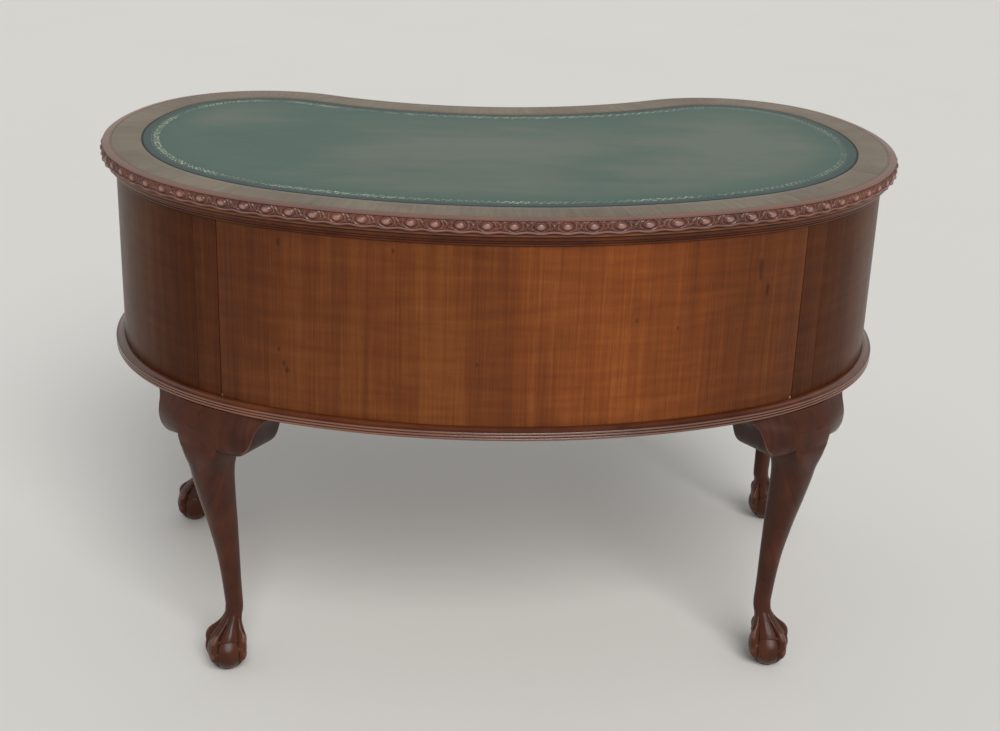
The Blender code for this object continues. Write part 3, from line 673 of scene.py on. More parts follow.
def buildLipping():
    bandZ = spread(carving["bandTop"], carving["bandBottom"], carving["bandRows"])
    pitch = 2 * halfWay / carving["bossCount"]
    firstBand = len(carving["above"])
    lastBand = firstBand + len(bandZ) - 1
    waves = carving["waves"]
    rimFrom, rimTo, rimShare = carving["rim"]

    def carve(distance, row, inset, z, height):
        phase = (distance - readTable(carving["drift"], distance)) / pitch
        beside = (phase - math.floor(phase) - 0.5) * pitch
        swell = 0.5 + 0.5 * math.cos(2 * math.pi * beside / pitch)
        if firstBand <= row <= lastBand:
            share = (row - firstBand) / (lastBand - firstBand)
            z += swell * (waves["top"] * (1 - share) - waves["foot"] * 0.5 * share)
            above = z - carving["bossMiddle"]
            reach = math.hypot(beside / carving["bossHalfWidth"], above / carving["bossHalfHeight"])
            lift = carvedHeight(beside, above, reach)
            inset = max(inset - lift, carving["leastInset"])
            # bosses are painted lightest in their middle, as wear and painted highlight, the carving between them by
            # how far it stands out, with painted shade on the low ground
            if reach < 1:
                height = 0.45 + 0.50 * (1 - reach ** 2.5)
            else:
                height = 0.12 + 0.80 * min(lift / carving["ribbon"][2], 1.0)
            # painted shade in the groove round each boss
            if rimFrom < reach < rimTo:
                height *= rimShare
            # painted shade along the top and foot of the band
            if row in (firstBand, lastBand):
                height *= carving["edgeRelief"]
        elif row > lastBand:
            z -= waves["foot"] * (swell - 0.35)
            inset += waves["under"] * (1 - swell)
        elif row >= firstBand - 2:
            z += waves["line"] * swell
        return inset, z, height

    section = [*carving["above"], *((carving["ground"], z) for z in bandZ), *carving["under"]]
    # the band's own relief comes from carve
    relief = [*carving["aboveRelief"], *[0.0] * len(bandZ), *carving["underRelief"]]
    shape = sweep(section, relief, carving["bossCount"] * carving["columnsPerBoss"], tube=True, carve=carve)
    piece = finishPiece(shape, "carvedLipping", mahoganyFinish("carvedMahogany", 0, 7.7, **carving["finish"]), "case",
                        "carved_edge", 60.0)
    dressFaces(piece, bpy.data.materials["crossBandedBorder"],
               lambda face: face.normal.z > 0.999 and face.center.z > 0.7544)


casePanels = {
    "thickness": 0.016,
    "postWidth": 0.042,
    "postDepth": 0.044,
    "bowPostReach": 0.43,
    "drawerPostHeading": 127.0,
    "openSeam": 0.0007,  # the bow panel has shrunk a little from its stiles
    "step": 0.006,
    "easing": 0.0005,
    # the bead round a drawer front: its rows in shares of its width, and the groove inside it
    "beadRows": (0.0, 0.10, 0.28, 0.5, 0.72, 0.9, 1.0, 1.15),
    "grooveTo": 1.2,
    "grooveDepth": 0.25,
}
bowPostDistance = bisect(lambda d: planPoint(d, desk["caseInset"])[0] < casePanels["bowPostReach"], 0.0, endDistance)
drawerPostDistance = bisect(lambda d: headingAt(d) < math.radians(casePanels["drawerPostHeading"]),
                            0.0, outline[4][0])


# a board bent to the outline; its outer and inner face may start and end at different distances
def bentBoard(name, finish, body, node, outer, inner, insets, heights, bead=None):
    low, high = heights
    face, back = insets
    easing = casePanels["easing"]
    length = outer[1] - outer[0]
    count = max(4, round(length / casePanels["step"]))
    margin = [0.0, easing]
    if bead:
        margin = [bead["width"] * share for share in casePanels["beadRows"]]
    along = [at / length for at in margin] + spread(margin[-1] / length, 1 - margin[-1] / length, count)[1:-1]
    along += [1 - at / length for at in reversed(margin)]
    up = [low + at for at in margin] + [(low + high) / 2] + [high - at for at in reversed(margin)]

    def place(column, row):
        if row == len(up) + 2:
            row = 0
        share = along[column]
        if row < len(up):
            z = up[row]
            distance = outer[0] + length * share
            fromEdge = min(min(share, 1 - share) * length, z - low, high - z)
            lift = 0.0
            if not bead:
                lift = -easing if fromEdge < easing * 0.5 else 0.0
            elif fromEdge <= bead["width"]:
                lift = bead["proud"] * math.sin(math.pi * fromEdge / bead["width"]) ** 0.7
            elif fromEdge <= bead["width"] * casePanels["grooveTo"]:
                lift = -bead["proud"] * casePanels["grooveDepth"]
            x, y = planPoint(distance, face - lift)
        else:
            z = high if row == len(up) else low
            distance = inner[0] + (inner[1] - inner[0]) * share
            x, y = planPoint(distance, back)
        return (x, y, z), (distance, z), 0.7

    finishPiece(gridShape(len(along) - 1, len(up) + 2, place, (outer[0], low)), name, finish, body, node, 30.0)


def postSides(distance):
    radius = arcAt(distance)[3]
    half = casePanels["postWidth"] / 2 * radius / (radius - desk["caseInset"])
    return distance - half, distance + half


bowNear, bowFar = postSides(bowPostDistance)
drawerNear, drawerFar = postSides(drawerPostDistance)
sides = (("left", -1), ("right", 1))


def buildPanels():
    face = desk["caseInset"]
    insets = (face, face + casePanels["thickness"])
    heights = (desk["baseHeight"], desk["caseTop"] - desk["seatGap"])
    reach = bowNear - desk["seatGap"] - casePanels["openSeam"]
    bentBoard("bowVeneer", veneerFinish("bowMahoganyVeneer", 0.0, polish=0.18, marked=True), "case", "bow_panel",
              (-reach, reach), (-reach, reach), insets, heights)
    for (side, sign), offset in zip(sides, (4.3, 9.1)):
        ends = sorted((sign * (bowFar + desk["seatGap"]), sign * (drawerNear - desk["seatGap"])))
        bentBoard(side + "EndVeneer", veneerFinish(side + "MahoganyVeneer", offset, 0.45, 0.08), "case",
                  side + "_end_panel", ends, ends, insets, heights)


# reeded moulding round the foot of the case
reeding = {
    "height": 0.016,
    "inset": 0.0086,
    "count": 3,
    "share": 0.78,
    "depth": 0.0015,
    "seamDrop": 0.0002,  # how far the top falls toward the cove
    "lipWidths": (0.0016, 0.0034),
    "shoulderIn": 0.0022,
    "footIn": 0.0012,
    # how light one reed is painted, from its top to its foot: wear and painted highlight on its upper side, painted
    # shade in the grooves
    "relief": (0.02, 0.35, 0.68, 1.0, 1.0, 0.80, 0.50, 0.30, 0.02),
    "kneeHalfWidth": 0.235,
    "step": 0.006,
    "finish": {"tone": 1.08, "wearAndSheen": 0.38, "polish": 0.7, "roughness": 0.21, "wornAndSheen": (0.310, 0.148, 0.095)},
}


def buildMoulding():
    low = desk["baseHeight"]
    inner = desk["caseInset"] - desk["seatGap"]
    proud = reeding["inset"]
    top = low + reeding["height"]
    reed = reeding["height"] * reeding["share"] / reeding["count"]
    shoulder = low + reed * reeding["count"]
    drop = reeding["seamDrop"]
    flat, lip = (inner - width for width in reeding["lipWidths"])
    section = [(inner, low), (inner, top), (flat, top), (lip, top - drop)]
    relief = [0.1, 0.1, 0.3, 0.6] + [0.7] * 7
    for share in spread(0.0, 1.0, 7)[1:]:
        section.append((lip - (lip - proud - reeding["shoulderIn"]) * share,
                        top - drop - (top - 2 * drop - shoulder) * smooth(share)))
    for index in range(reeding["count"]):
        middle = low + reed * (reeding["count"] - index - 0.5)
        for part, height in enumerate(reeding["relief"]):
            angle = math.pi * (part / 8 - 0.5)
            section.append((proud + reeding["depth"] * (1 - math.cos(angle) ** 0.8),
                            middle - reed / 2 * math.sin(angle) * 0.96))
            relief.append(height)
    section.append((proud + reeding["depth"] + reeding["footIn"], low))
    relief.append(0.1)
    reach = hollowDistance(reeding["kneeHalfWidth"], desk["caseInset"])
    shape = sweep(section, relief, round(2 * reach / reeding["step"]), reach, tube=True)
    finishPiece(shape, "reededMoulding", mahoganyFinish("reededMahogany", 0, 5.2, **reeding["finish"]), "case",
                "base_moulding", 50.0)


# cabriole legs; depth counts down from the case
leg = {
    "around": 128,
    "kneeRings": 32,
    "shankRings": 44,
    "footRings": 104,
    "kneeHalf": 0.034,
    "kneeDrop": 0.064,
    "ankleHeight": 0.10,
    "cornerEase": 0.009,
    "faceReach": 0.15,  # how far beside a leg its face is looked for
    "squareDrop": 0.053,  # down to here one face runs over the leg and both brackets
    "squareFade": 0.045,
    # how far the knee stands out from the case, against depth
    "kneeOut": table(0, 36, 30, 36, 50, 37.5, 66, 37.5, 110, 34),
    # how fast the face falls back beyond the knee
    "wingSlope": {"end": 0.24, "middle": 0.337},
    # half width of the leg and the path of its middle, against depth
    "half": table(0, 34, 64, 33.9, 85, 32.5, 110, 30.1, 150, 26.1, 200, 20.9, 260, 15.4, 300, 13.3, 334, 12.4),
    "out": {"bow": table(0, 0, 64, 0, 85, -0.8, 110, -3, 150, -8, 200, -14.5, 260, -19, 334, -21),
            "drawer": table(0, 0, 64, 0, 85, -1.2, 110, -4.5, 150, -12.2, 200, -22.5, 260, -29.7, 334, -33)},
    "along": {"bow": table(0, 0, 45, 0, 64, -2, 85, 1, 110, 2.2, 150, 0.3, 200, -3.6, 260, -9.2, 334, -14.8),
              "drawer": table(0, 0, 1000, 0)},
    # share of the full swell against depth
    "swell": table(0, 0.42, 5, 0.5, 10, 0.64, 15, 0.78, 20, 0.89, 25, 0.96, 30, 1, 1000, 1, unit=1),
    # share kept where the face rolls back under, against depth
    "roll": {"end": table(0, 1, 34, 1, 43, 0.95, 50, 0.86, 56, 0.78, unit=1),
             "middle": table(0, 1, 36, 1, 46, 0.93, 54, 0.82, 61, 0.68, 66, 0.58, unit=1)},
    "rollFrom": 0.024,
    "rollWide": 0.026,
    # how square the section is against depth, in front and behind
    "frontSquare": table(0, 80, 52, 70, 60, 18, 64, 9, 70, 6, 79, 4.2, 90, 2.9, 104, 2.35, 180, 2.3, 334, 2.5, unit=1),
    "backSquare": table(0, 40, 40, 12, 60, 3.4, 79, 2.9, 104, 2.35, 180, 2.3, 334, 2.5, unit=1),
    "finish": {"tone": 0.70, "wearAndSheen": 0.52, "polish": 0.24},
}


# the plan frame of one leg: its point on the case face, outward and sideways directions
class Stand:
    def __init__(self, place, sign):
        self.sign = sign
        self.distance = bowPostDistance if place == "bow" else drawerPostDistance
        heading = headingAt(self.distance)
        towardEnd = 1 if place == "bow" else -1
        self.base = Vector(planPoint(sign * self.distance, desk["caseInset"]))
        self.out = Vector((sign * math.sin(heading), -math.cos(heading)))
        self.along = Vector((sign * math.cos(heading), math.sin(heading))) * towardEnd
        self.faces = {}

    def put(self, out, along, z):
        flat = self.base + self.out * out + self.along * along
        return flat.x, flat.y, z

    # how far a line at that inset stands out from the flat plane through the base, at one place beside it
    def faceOut(self, along, inset):
        key = (round(along, 5), inset)
        if key not in self.faces:
            self.faces[key] = self.findFace(along, inset)
        return self.faces[key]

    def findFace(self, along, inset):
        def fromBase(distance):
            return Vector(planPoint(self.sign * distance, inset)) - self.base

        low = self.distance - leg["faceReach"]
        high = self.distance + leg["faceReach"]
        rising = (fromBase(high) - fromBase(low)).dot(self.along) > 0
        found = bisect(lambda distance: (fromBase(distance).dot(self.along) < along) == rising, low, high)
        return fromBase(found).dot(self.out)

    # one face runs over the knee and both brackets, and rolls back under toward their lower edges
    def kneeFace(self, along, down):
        side = "end" if along > 0 else "middle"
        beyond = (abs(along) - leg["kneeHalf"]) / leg["cornerEase"]
        eased = math.log1p(math.exp(beyond)) if beyond < 30 else beyond
        fall = leg["wingSlope"][side] * leg["cornerEase"] * eased
        rolled = 1 - readTable(leg["roll"][side], down)
        rolled *= smooth((abs(along) - leg["rollFrom"]) / leg["rollWide"])
        swell = (readTable(leg["kneeOut"], down) - fall) * readTable(leg["swell"], down) * (1 - rolled)
        return self.faceOut(along, desk["caseInset"]) + swell


# unit section of a ring: outward and sideways share, square in front and behind to its own degree
def sectionShare(angle, front, back):
    cosine, sine = math.cos(angle), math.sin(angle)
    power = 2 / (front if cosine > 0 else back)
    return math.copysign(abs(cosine) ** power, cosine), math.copysign(abs(sine) ** power, sine)


# claw-and-ball foot
foot = {
    # radius over the claws against height: two knuckles, then the talon
    "crest": table(0, 11.8, 3, 16.5, 8, 22.2, 14, 27.2, 18.5, 30.6, 22, 32.8, 30, 34.6, 36, 34.2, 40.5, 33.7, 46, 34.5,
                   52, 34.3, 57, 32.6, 62, 28.8, 67, 23.6, 72, 19.4, 78, 16, 85, 13.7, 90, 12.9, 100, 12.4),
    # radius of the skin between them
    "web": table(0, 0, 36, 28.8, 44, 28.1, 50, 26.8, 57, 24.2, 63, 21.1, 69, 18, 75, 15.6, 81, 14.1, 88, 13.1,
                 94, 12.7, 100, 12.4),
    # half width of a claw
    "claw": table(0, 1.2, 6, 3, 13, 4.6, 18.5, 5.8, 21, 7.6, 30, 8.6, 36, 7.6, 40.5, 6.8, 48, 8.4, 55, 7.4, 63, 5.8,
                  74, 4.2, 84, 3, 100, 2.6),
    # the middle of the foot, outward and sideways, against height
    "out": table(0, -0.4, 30, -0.8, 50, -4.5, 65, -8.5, 80, -14.5, 90, -19.2, 100, -21),
    "along": table(0, -15.5, 30, -15.2, 50, -13.2, 65, -14.8, 80, -16, 100, -14.8),
    "shift": {"bow": (0.0, 0.0), "drawer": (-0.012, 0.0148)},
    # which way the claws point, in degrees from the outward side toward the end of the desk
    "toes": {"bow": (-93.0, 2.0, 72.0, 176.0), "drawer": (-86.0, 0.0, 86.0, 180.0)},
    "ballWide": 0.0297,
    "ballTall": 0.0316,
    "ballMiddle": 0.0306,
    "sole": (0.006, 0.0118),  # flat below this height, with this radius
    "skinOver": 0.0009,  # how far the skin's edge stands on the ball, and over what height it ends
    "skinEdge": 0.0018,
    "slack": 0.0006,
    "fold": 0.00012,
    "knuckles": ((0.055, 0.007, 1.0), (0.031, 0.006, 0.6)),  # height, half width, how much lighter it is painted, as wear and painted highlight
    "talonShare": 0.72,
    "groove": (0.0016, 0.0008),  # beside a claw: how wide, how deep
    "archTop": 0.0500,
    "archLow": 0.0455,
    "talonTop": 0.0190,
}


# angle to the nearest claw, and half the angle between the two claws around
def nearestClaw(angle, toes):
    circle = 2 * math.pi
    passed = min((angle - math.radians(toe)) % circle for toe in toes)
    ahead = min((math.radians(toe) - angle) % circle or circle for toe in toes)
    return min(passed, ahead), (passed + ahead) / 2


# radius and relief of the foot at one angle (0 looks outward) and height
def footRadius(angle, z, toes):
    toClaw, halfGap = nearestClaw(angle, toes)
    between = toClaw / halfGap
    tall = (z - foot["ballMiddle"]) / foot["ballTall"]
    ball = foot["ballWide"] * math.sqrt(max(1 - tall * tall, 0.0))
    # the skin is slack between the claws and has small folds
    web = readTable(foot["web"], z) - foot["slack"] * math.sin(math.pi * between) * smooth((0.094 - z) / 0.03)
    folds = smooth((z - 0.05) / 0.01) * smooth((0.092 - z) / 0.02) * between
    web += foot["fold"] * math.cos(9 * math.pi * between) * folds
    arch = foot["archTop"] - (foot["archTop"] - foot["archLow"]) * (1 - between) ** 2
    over = smooth((z - arch) / foot["skinEdge"])
    radius = ball + (max(web, ball + foot["skinOver"]) - ball) * over
    # the skin's edge on the ball is painted darker, as shade in the crease
    height = 0.60 if over == 0 else (0.56 if over == 1 else 0.40 + 0.16 * over)
    if z < foot["sole"][0]:
        radius = max(radius, foot["sole"][1])
    crest = readTable(foot["crest"], z)
    half = readTable(foot["claw"], z)
    beside = toClaw * max(crest, 0.012)
    lift = crest - radius
    if beside < half and lift > 0.0001:
        # claw crowns and knuckles are painted lighter, as wear and painted highlight; the talons darker, as painted
        # shade
        crown = (1 - (beside / half) ** 2.4) ** 0.55
        if z > foot["talonTop"]:
            knuckle = sum(share * bell(z, middle, wide) for middle, wide, share in foot["knuckles"])
            height = 0.36 + crown * (0.32 + 0.40 * knuckle)
        else:
            height = 0.10 + 0.16 * crown
            lift *= foot["talonShare"]
        radius += lift * crown
    elif lift > 0.0002:
        wide, deep = foot["groove"]
        groove = bell(beside, half, wide) * min(lift / 0.003, 1.0)
        radius -= deep * groove
        # painted shade in the groove beside a claw
        height *= 1 - 0.6 * groove
    return radius, height


def legShape(place, stand):
    around = leg["around"]
    upper = leg["kneeRings"] + leg["shankRings"]
    shelf = desk["baseHeight"] - desk["seatGap"]
    kneeLow = desk["baseHeight"] - leg["kneeDrop"]
    shiftOut, shiftAlong = foot["shift"][place]
    square = leg["frontSquare"][-1][1]

    def upperPlace(column, angle, row):
        if row <= leg["kneeRings"]:
            z = shelf - (shelf - kneeLow) * row / leg["kneeRings"]
        else:
            z = kneeLow - (kneeLow - leg["ankleHeight"]) * ((row - leg["kneeRings"]) / leg["shankRings"])
        down = desk["baseHeight"] - z
        half = readTable(leg["half"], down)
        behind = half + (casePanels["postDepth"] - half) * (1 - smooth(down / leg["kneeDrop"]))
        shareOut, shareAlong = sectionShare(angle, readTable(leg["frontSquare"], down),
                                            readTable(leg["backSquare"], down))
        if down < leg["squareDrop"] and shareOut > 0.9:
            shareOut = 1.0
        along = readTable(leg["along"][place], down) + half * shareAlong
        blend = smooth((down - leg["squareDrop"]) / leg["squareFade"])
        ahead = half * blend
        if blend < 1:
            ahead += stand.kneeFace(along, down) * (1 - blend)
        out = readTable(leg["out"][place], down) + (ahead if shareOut > 0 else behind) * shareOut
        return stand.put(out, along, z), (4.0 * half * column / around + 0.3, z), 0.6

    def where(column, row):
        angle = 2 * math.pi * (column % around) / around
        if row <= upper:
            return upperPlace(column, angle, row)
        share = (row - upper) / leg["footRings"]
        z = leg["ankleHeight"] * (1 - share)
        radius, height = footRadius(angle, z, foot["toes"][place])
        # the rounded square of the ankle runs out into the foot
        corner = (abs(math.cos(angle)) ** square + abs(math.sin(angle)) ** square) ** (-1 / square)
        radius *= 1 + (corner - 1) * (1 - smooth(share / 0.2))
        point = stand.put(readTable(foot["out"], z) + shiftOut + radius * math.cos(angle),
                          readTable(foot["along"], z) + shiftAlong + radius * math.sin(angle), z)
        return point, (0.05 * column / around + 0.3, z), height

    return gridShape(around, upper + leg["footRings"], where, (0.3, 0.0))


bracket = {
    # depth against the distance from the middle of the leg
    "profile": {
        "end": table(32.5, 44, 38, 45.8, 45, 48, 52, 50.2, 59, 52.2, 66, 53.4, 72, 53.2, 77, 51, 81.5, 46.5, 84.8, 39.5,
                     86.8, 31, 88.4, 22, 91.5, 13, 100, 2.8),
        "middle": table(32.5, 52, 35, 52.8, 38.5, 55.6, 43, 59.2, 49, 62.2, 55, 63.8, 60, 63.8, 65, 62.2, 70, 59.2,
                        74.5, 55.2, 78.5, 50, 81.5, 44, 84, 36, 86.2, 28, 88.5, 20.5, 91, 15, 94, 10.8, 97, 7.5,
                        100, 5, 103.5, 2.8),
    },
    "rearWiden": -0.0025,
    "rearFrom": 0.055,
    "rearOver": 0.035,
    "faceRows": 22,
    "faceRelief": 0.58,
    # the cut edge is painted darker, as shade
    "cutRelief": 0.30,
    "arrisFrom": 0.060,  # the lower edge is painted light from here to the tip, as wear and painted highlight
    "arrisOver": 0.012,
    "cutShares": (0.0, 0.0, 0.33, 0.66, 1.0, 1.0),  # rows of the cut edge from front to back
    "ease": 0.0007,
}


# its face carries the swell of the knee on, and dies away toward the tip
def bracketShape(stand, side):
    top = desk["baseHeight"] - desk["seatGap"]
    faceRows = bracket["faceRows"]
    ease = bracket["ease"]
    postInset = desk["caseInset"] + casePanels["postDepth"]
    profile = bracket["profile"]["end" if side > 0 else "middle"]
    places = []
    for (near, nearDepth), (far, farDepth) in zip(profile, profile[1:]):
        places += [(near + (far - near) * part / 3, nearDepth + (farDepth - nearDepth) * part / 3)
                   for part in range(3)]
    places.append(profile[-1])
    # evened once, so that the cut edge runs smoothly
    evened = [places[0]] + [tuple((a + 2 * b + c) / 4 for a, b, c in zip(before, at, after))
                            for before, at, after in zip(places, places[1:], places[2:])] + [places[-1]]

    def place(column, row):
        reach, drop = evened[column]
        along = side * reach
        widened = bracket["rearWiden"] * smooth((reach - bracket["rearFrom"]) / bracket["rearOver"])
        rear = stand.faceOut(along, postInset)
        row %= faceRows + 6
        if row <= faceRows:
            down = (drop - ease) * row / faceRows
        else:
            down = drop if row <= faceRows + 4 else 0.0
        front = stand.kneeFace(along, down)
        grain = (abs(along) + 0.7, top - down)
        if row > faceRows:
            back = bracket["cutShares"][row - faceRows]
            front += (rear - front + ease) * back - ease
            along += side * widened * back
            grain = (abs(along) + 0.7 + 0.07 * back, top - down)
        relief = bracket["faceRelief"] if row < faceRows else bracket["cutRelief"]
        if row in (faceRows - 1, faceRows):
            relief = 0.6 + 0.4 * smooth((reach - bracket["arrisFrom"]) / bracket["arrisOver"])
        return stand.put(front, along, top - down), grain, relief

    return gridShape(len(evened) - 1, faceRows + 6, place, (0.7, 0.4))


def buildLegs():
    finish = mahoganyFinish("legMahogany", 1, 1.4, **leg["finish"])
    stile = veneerFinish("stileMahogany", 14.2, 0.57)
    insets = (desk["caseInset"], desk["caseInset"] + casePanels["postDepth"])
    heights = (desk["baseHeight"] + 0.001, desk["caseTop"] - desk["seatGap"])
    for side, sign in sides:
        for place, near, far in (("bow", bowNear, bowFar), ("drawer", drawerNear, drawerFar)):
            stand = Stand(place, sign)
            node = f"{place}_{side}_leg"
            name = place + side.capitalize()
            finishPiece(legShape(place, stand), name + "Cabriole", finish, "case", node, 55.0)
            ends = sorted((sign * near, sign * far))
            bentBoard(name + "Stile", stile, "case", node, ends, ends, insets, heights)
            for edge, way in (("end", 1), ("middle", -1)):
                finishPiece(bracketShape(stand, way), f"{name}{edge.capitalize()}Bracket", finish, "case",
                            f"{node}_{edge}_bracket", 38.0)


drawer = {
    "frontThickness": 0.018,
    "panelFar": 0.255,
    "slideGap": 0.0008,
    "middleReach": 0.2422,
    "heights": {"upper": (0.6043, 0.7122), "lower": (0.4503, 0.5892)},
    "bead": {"width": 0.0030, "proud": 0.0009},
    "handleX": 0.36992,
    "tone": 0.9,
}


def buildFronts():
    insets = (desk["caseInset"], desk["caseInset"] + drawer["frontThickness"])
    outer, inner = (hollowDistance(drawer["middleReach"], inset) for inset in insets)
    bentBoard("middleDrawerFront", veneerFinish("middleFrontVeneer", 21.0, drawer["tone"]), "middle_drawer",
              "middle_drawer_front", (outer, 2 * halfWay - outer), (inner, 2 * halfWay - inner), insets,
              drawer["heights"]["upper"], drawer["bead"])
    # the gap to the post keeps its width down to the post's back
    radius = arcAt(drawerPostDistance)[3]
    gap = drawer["slideGap"] * radius / (radius - desk["caseInset"] - casePanels["postDepth"])
    wall = drawer["panelFar"] + drawer["slideGap"]
    for side, sign in sides:
        for level in ("upper", "lower"):
            ends = [sorted((sign * (drawerFar + gap), sign * hollowDistance(wall, inset))) for inset in insets]
            camel = side + level.capitalize()
            offset = 25.0 + 7.0 * sign + (3.0 if level == "upper" else 0.0)
            bentBoard(camel + "DrawerFront", veneerFinish(camel + "FrontVeneer", offset, drawer["tone"]),
                      f"{side}_{level}_drawer", f"{side}_{level}_drawer_front", *ends, insets,
                      drawer["heights"][level], drawer["bead"])


handle = {
    "halfLength": 0.043,
    "halfHeight": 0.0145,
    "thickness": 0.0015,
    "waist": 0.2,
    "endTaper": 0.75,
    "cusp": 0.05,
    "endEase": 0.04,  # share of the half length over which the plate thins at its ends
    "plateColumns": 64,
    # the plate from its lower to its upper edge: share of the half height, share of the thickness
    "plateRows": ((-1.0, 0.0), (-1.0, 0.55), (-0.93, 0.9), (-0.80, 1.0), (-0.5, 1.0), (0.0, 1.0), (0.5, 1.0),
                  (0.80, 1.0), (0.93, 0.9), (1.0, 0.55), (1.0, 0.0)),
    "spacing": 0.03,
    # a turned post: radius, reach from the plate
    "rootRadius": 0.005425,
    "post": table(5.25, 0.6, 3.85, 1.4, 3.5, 3, 3.325, 6.7, 4.32, 7.5, 4.8, 8.3, 4.8, 13.3, 4.128, 14.5, 2.4, 15.2,
                  0, 15.5),
    "postSides": 24,
    "boreReach": 0.0115,
    "bailStart": 0.0264,
    "bailHalf": 0.0415,
    "bailDrop": 0.027,
    "bailRadius": 0.0019,
    "bailSwell": 0.22,  # how much thicker it is at its middle
    "bailBend": 0.6,  # 1 is round, less is squarer
    "bailSides": 16,
    "pinRadius": 0.0015,
    "pinEnds": (0.0050, 0.0042),
}


def faceY(x):
    return planPoint(hollowDistance(abs(x), desk["caseInset"]), desk["caseInset"])[1]


def plateShape(centreX, z):
    rows = handle["plateRows"]

    def place(column, row):
        share = 2 * column / handle["plateColumns"] - 1
        across, lift = rows[row % len(rows)]
        x = centreX + handle["halfLength"] * share
        waist = 1 - handle["waist"] + handle["waist"] * math.cos(2 * math.pi * share)
        cusp = 1 + handle["cusp"] * math.cos(6 * math.pi * share)
        half = handle["halfHeight"] * (1 - handle["endTaper"] * share ** 4) * waist * min(cusp, 1.0)
        edge = 1 - smooth((abs(share) - 1 + handle["endEase"]) / handle["endEase"])
        y = faceY(x) + desk["seatGap"] + handle["thickness"] * lift * (0.45 + 0.55 * edge)
        return (x, y, z + half * across), (x, z), 0.25 if abs(across) > 0.85 else 0.75

    return gridShape(handle["plateColumns"], len(rows), place)


# adds a profile spun about a line toward the sitter
def addPost(shape, x, z, rootY, plateY):
    profile = [(0.0, rootY), (handle["rootRadius"], rootY)]
    profile += [(radius, plateY + reach) for radius, reach in handle["post"]]
    relief = shape.verts.layers.float["relief"]
    others = set(shape.verts)
    chain = [shape.verts.new((x + radius, y, z)) for radius, y in profile]
    for index, vertex in enumerate(chain):
        vertex[relief] = 0.15 if index in (3, 4, 5) else 0.9
    edges = [shape.edges.new(pair) for pair in zip(chain, chain[1:])]
    bmesh.ops.spin(shape, geom=chain + edges, cent=(x, 0.0, z), axis=(0.0, 1.0, 0.0), angle=2 * math.pi,
                   steps=handle["postSides"], use_merge=True, use_duplicate=False)
    bmesh.ops.remove_doubles(shape, verts=[vertex for vertex in shape.verts if vertex not in others], dist=0.00001)


def bailShape(centreX, y, z):
    half = handle["bailHalf"]
    start = handle["bailStart"]
    radius = handle["bailRadius"]
    pinEnd, bailEnd = (half - short for short in handle["pinEnds"])
    quarter = [(start, 0.0, handle["pinRadius"]), (pinEnd, 0.0, handle["pinRadius"]), (bailEnd, 0.0, radius)]
    for share in spread(0.0, 1.0, 16):
        angle = math.pi / 2 * share
        wide = half * math.cos(angle) ** handle["bailBend"] if share < 1 else 0.0
        drop = handle["bailDrop"] * math.sin(angle) ** handle["bailBend"]
        quarter.append((wide, -drop, radius * (1.0 + handle["bailSwell"] * smooth(2 * share - 1))))
    path = [(-wide, drop, thick) for wide, drop, thick in quarter[:-1]] + quarter[::-1]
    count = handle["bailSides"]

    def place(column, row):
        x, drop, thick = path[column]
        before = path[max(column - 1, 0)]
        after = path[min(column + 1, len(path) - 1)]
        tangent = Vector((after[0] - before[0], after[1] - before[1])).normalized()
        angle = 2 * math.pi * (row % count) / count
        inPlane = thick * math.cos(angle)
        point = (centreX + x - tangent.y * inPlane, y + thick * math.sin(angle), z + drop + tangent.x * inPlane)
        return point, (column * 0.003, angle * thick), 0.3 if abs(x) < start + 0.004 and drop == 0 else 0.8

    return gridShape(len(path) - 1, count, place)


def buildHandle(name, camel, x, level, brass):
    z = sum(drawer["heights"][level]) / 2
    plateY = faceY(x) + desk["seatGap"] + handle["thickness"]
    shape = plateShape(x, z)
    for side in (-1, 1):
        postX = x + side * handle["spacing"]
        addPost(shape, postX, z, faceY(postX) + desk["seatGap"] + handle["thickness"] * 0.5, plateY)
    finishPiece(shape, camel + "Plate", brass, name + "_drawer", name + "_handle_plate", 40.0)
    finishPiece(bailShape(x, plateY + handle["boreReach"], z), camel + "Bail", brass, name + "_bail",
                name + "_handle_bail", 50.0)


def buildHandles():
    brass = brassFinish("oldBrass")
    buildHandle("middle", "middle", 0.0, "upper", brass)
    for side, sign in sides:
        for level in ("upper", "lower"):
            buildHandle(f"{side}_{level}", side + level.capitalize(), sign * drawer["handleX"], level, brass)


# flat boards keep their shape and get a finish by the end of their name
def dressBoards():
    cross = plainFinish("liningAlongX", "X", liningLook, 0.55, 3.0)
    finishes = (("_side", plainFinish("liningAlongY", "Y", liningLook, 0.55)), ("_back", cross),
                ("_drawer_bottom", cross), ("_bank_panel", plainFinish("bankMahogany", "Z", carcaseLook, 0.34,
                                                                       polish=0.12)),
                ("", plainFinish("carcaseMahogany", "Y", carcaseLook, 0.46, 5.0, 0.12)))
    for name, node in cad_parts.items():
        if not node.hide_render:
            node.data.materials.clear()
            node.data.materials.append(next(finish for end, finish in finishes if name.endswith(end)))


# floor, light and camera
studio = {
    "floor": (0.80, 0.785, 0.745),
    "sky": (0.96, 0.98, 1.0),
    "skyLight": 0.42,
    "backdrop": (0.63, 0.62, 0.59),
    "windowLight": 2.1,
    "windowTurn": 13.0,
    "windowRise": 42.0,
    "softness": 34.0,
}


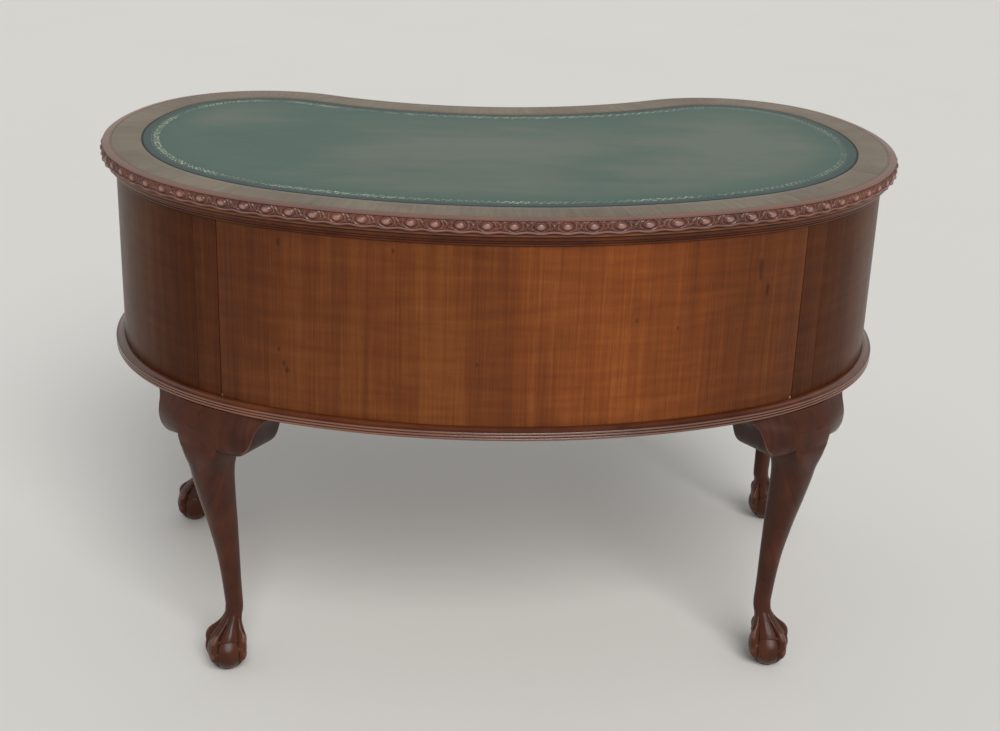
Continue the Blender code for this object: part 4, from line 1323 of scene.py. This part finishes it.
def buildFloor():
    shape = bmesh.new()
    bmesh.ops.create_grid(shape, x_segments=2, y_segments=2, size=30.0)
    mesh = bpy.data.meshes.new("floor")
    shape.to_mesh(mesh)
    shape.free()
    floor = bpy.data.objects.new("floor", mesh)
    bpy.context.scene.collection.objects.link(floor)
    finish = Finish("paleFloor")
    solid = finish.solid()
    cloud = finish.noise(solid, 1.3, 4.0, 0.6)
    fleck = finish.noise(solid, 130.0, 2.0)
    shade = [part * share for part, share in zip(studio["floor"], (0.93, 0.92, 0.90))]
    mesh.materials.append(finish.close(finish.mix(cloud * 0.5 + fleck * 0.2, studio["floor"], shade), 0.7))


# the sky lights the desk; the camera, mirrors and glass see the backdrop instead
def buildSky():
    world = bpy.data.worlds.new("softSky")
    bpy.context.scene.world = world
    world.use_nodes = True
    tree = world.node_tree
    background = tree.nodes["Background"]
    background.inputs["Color"].default_value = (*studio["sky"], 1.0)
    background.inputs["Strength"].default_value = studio["skyLight"]
    backdrop = tree.nodes.new("ShaderNodeBackground")
    backdrop.inputs["Color"].default_value = (*studio["backdrop"], 1.0)
    rays = tree.nodes.new("ShaderNodeLightPath")
    seen = rays.outputs["Is Camera Ray"]
    for ray in ("Is Glossy Ray", "Is Transmission Ray"):
        either = tree.nodes.new("ShaderNodeMath")
        either.operation = "MAXIMUM"
        tree.links.new(seen, either.inputs[0])
        tree.links.new(rays.outputs[ray], either.inputs[1])
        seen = either.outputs[0]
    mixed = tree.nodes.new("ShaderNodeMixShader")
    for index, source in enumerate((seen, background.outputs[0], backdrop.outputs[0])):
        tree.links.new(source, mixed.inputs[index])
    tree.links.new(mixed.outputs[0], tree.nodes["World Output"].inputs["Surface"])


def buildWindow():
    data = bpy.data.lights.new("windowLight", "SUN")
    data.energy = studio["windowLight"]
    data.angle = math.radians(studio["softness"])
    lamp = bpy.data.objects.new("windowLight", data)
    turn = math.radians(studio["windowTurn"])
    rise = math.radians(studio["windowRise"])
    toward = Vector((math.sin(turn) * math.cos(rise), -math.cos(turn) * math.cos(rise), math.sin(rise)))
    lamp.location = toward * 4
    lamp.rotation_euler = toward.to_track_quat("Z", "Y").to_euler()
    bpy.context.scene.collection.objects.link(lamp)


view = {
    "place": (-0.1848, -2.4448, 1.4041),
    "yaw": 4.3843,
    "pitch": 22.2433,
    "roll": 1.9371,
    "lens": 60.13,
}


def buildCamera():
    yaw, pitch, roll = (math.radians(view[key]) for key in ("yaw", "pitch", "roll"))
    ahead = Vector((math.sin(yaw) * math.cos(pitch), math.cos(yaw) * math.cos(pitch), -math.sin(pitch)))
    level = Vector((math.cos(yaw), -math.sin(yaw), 0.0))
    over = level.cross(ahead)
    right = level * math.cos(roll) + over * math.sin(roll)
    upward = over * math.cos(roll) - level * math.sin(roll)
    data = bpy.data.cameras.new("photoView")
    data.sensor_width = 36.0
    data.lens = view["lens"]
    camera = bpy.data.objects.new("photoView", data)
    camera.rotation_euler = Matrix((right, upward, -ahead)).transposed().to_euler()
    camera.location = view["place"]
    bpy.context.scene.collection.objects.link(camera)
    bpy.context.scene.camera = camera


buildTop()
print("top and cove frame done")
buildLeather()
print("leather done")
buildLipping()
print("carved lipping done")
buildPanels()
buildMoulding()
print("case done")
buildLegs()
print("legs done")
buildFronts()
buildHandles()
print("drawers done")
dressBoards()
buildFloor()
buildSky()
buildWindow()
buildCamera()
bpy.context.scene.view_settings.view_transform = "Standard"
print("studio done")
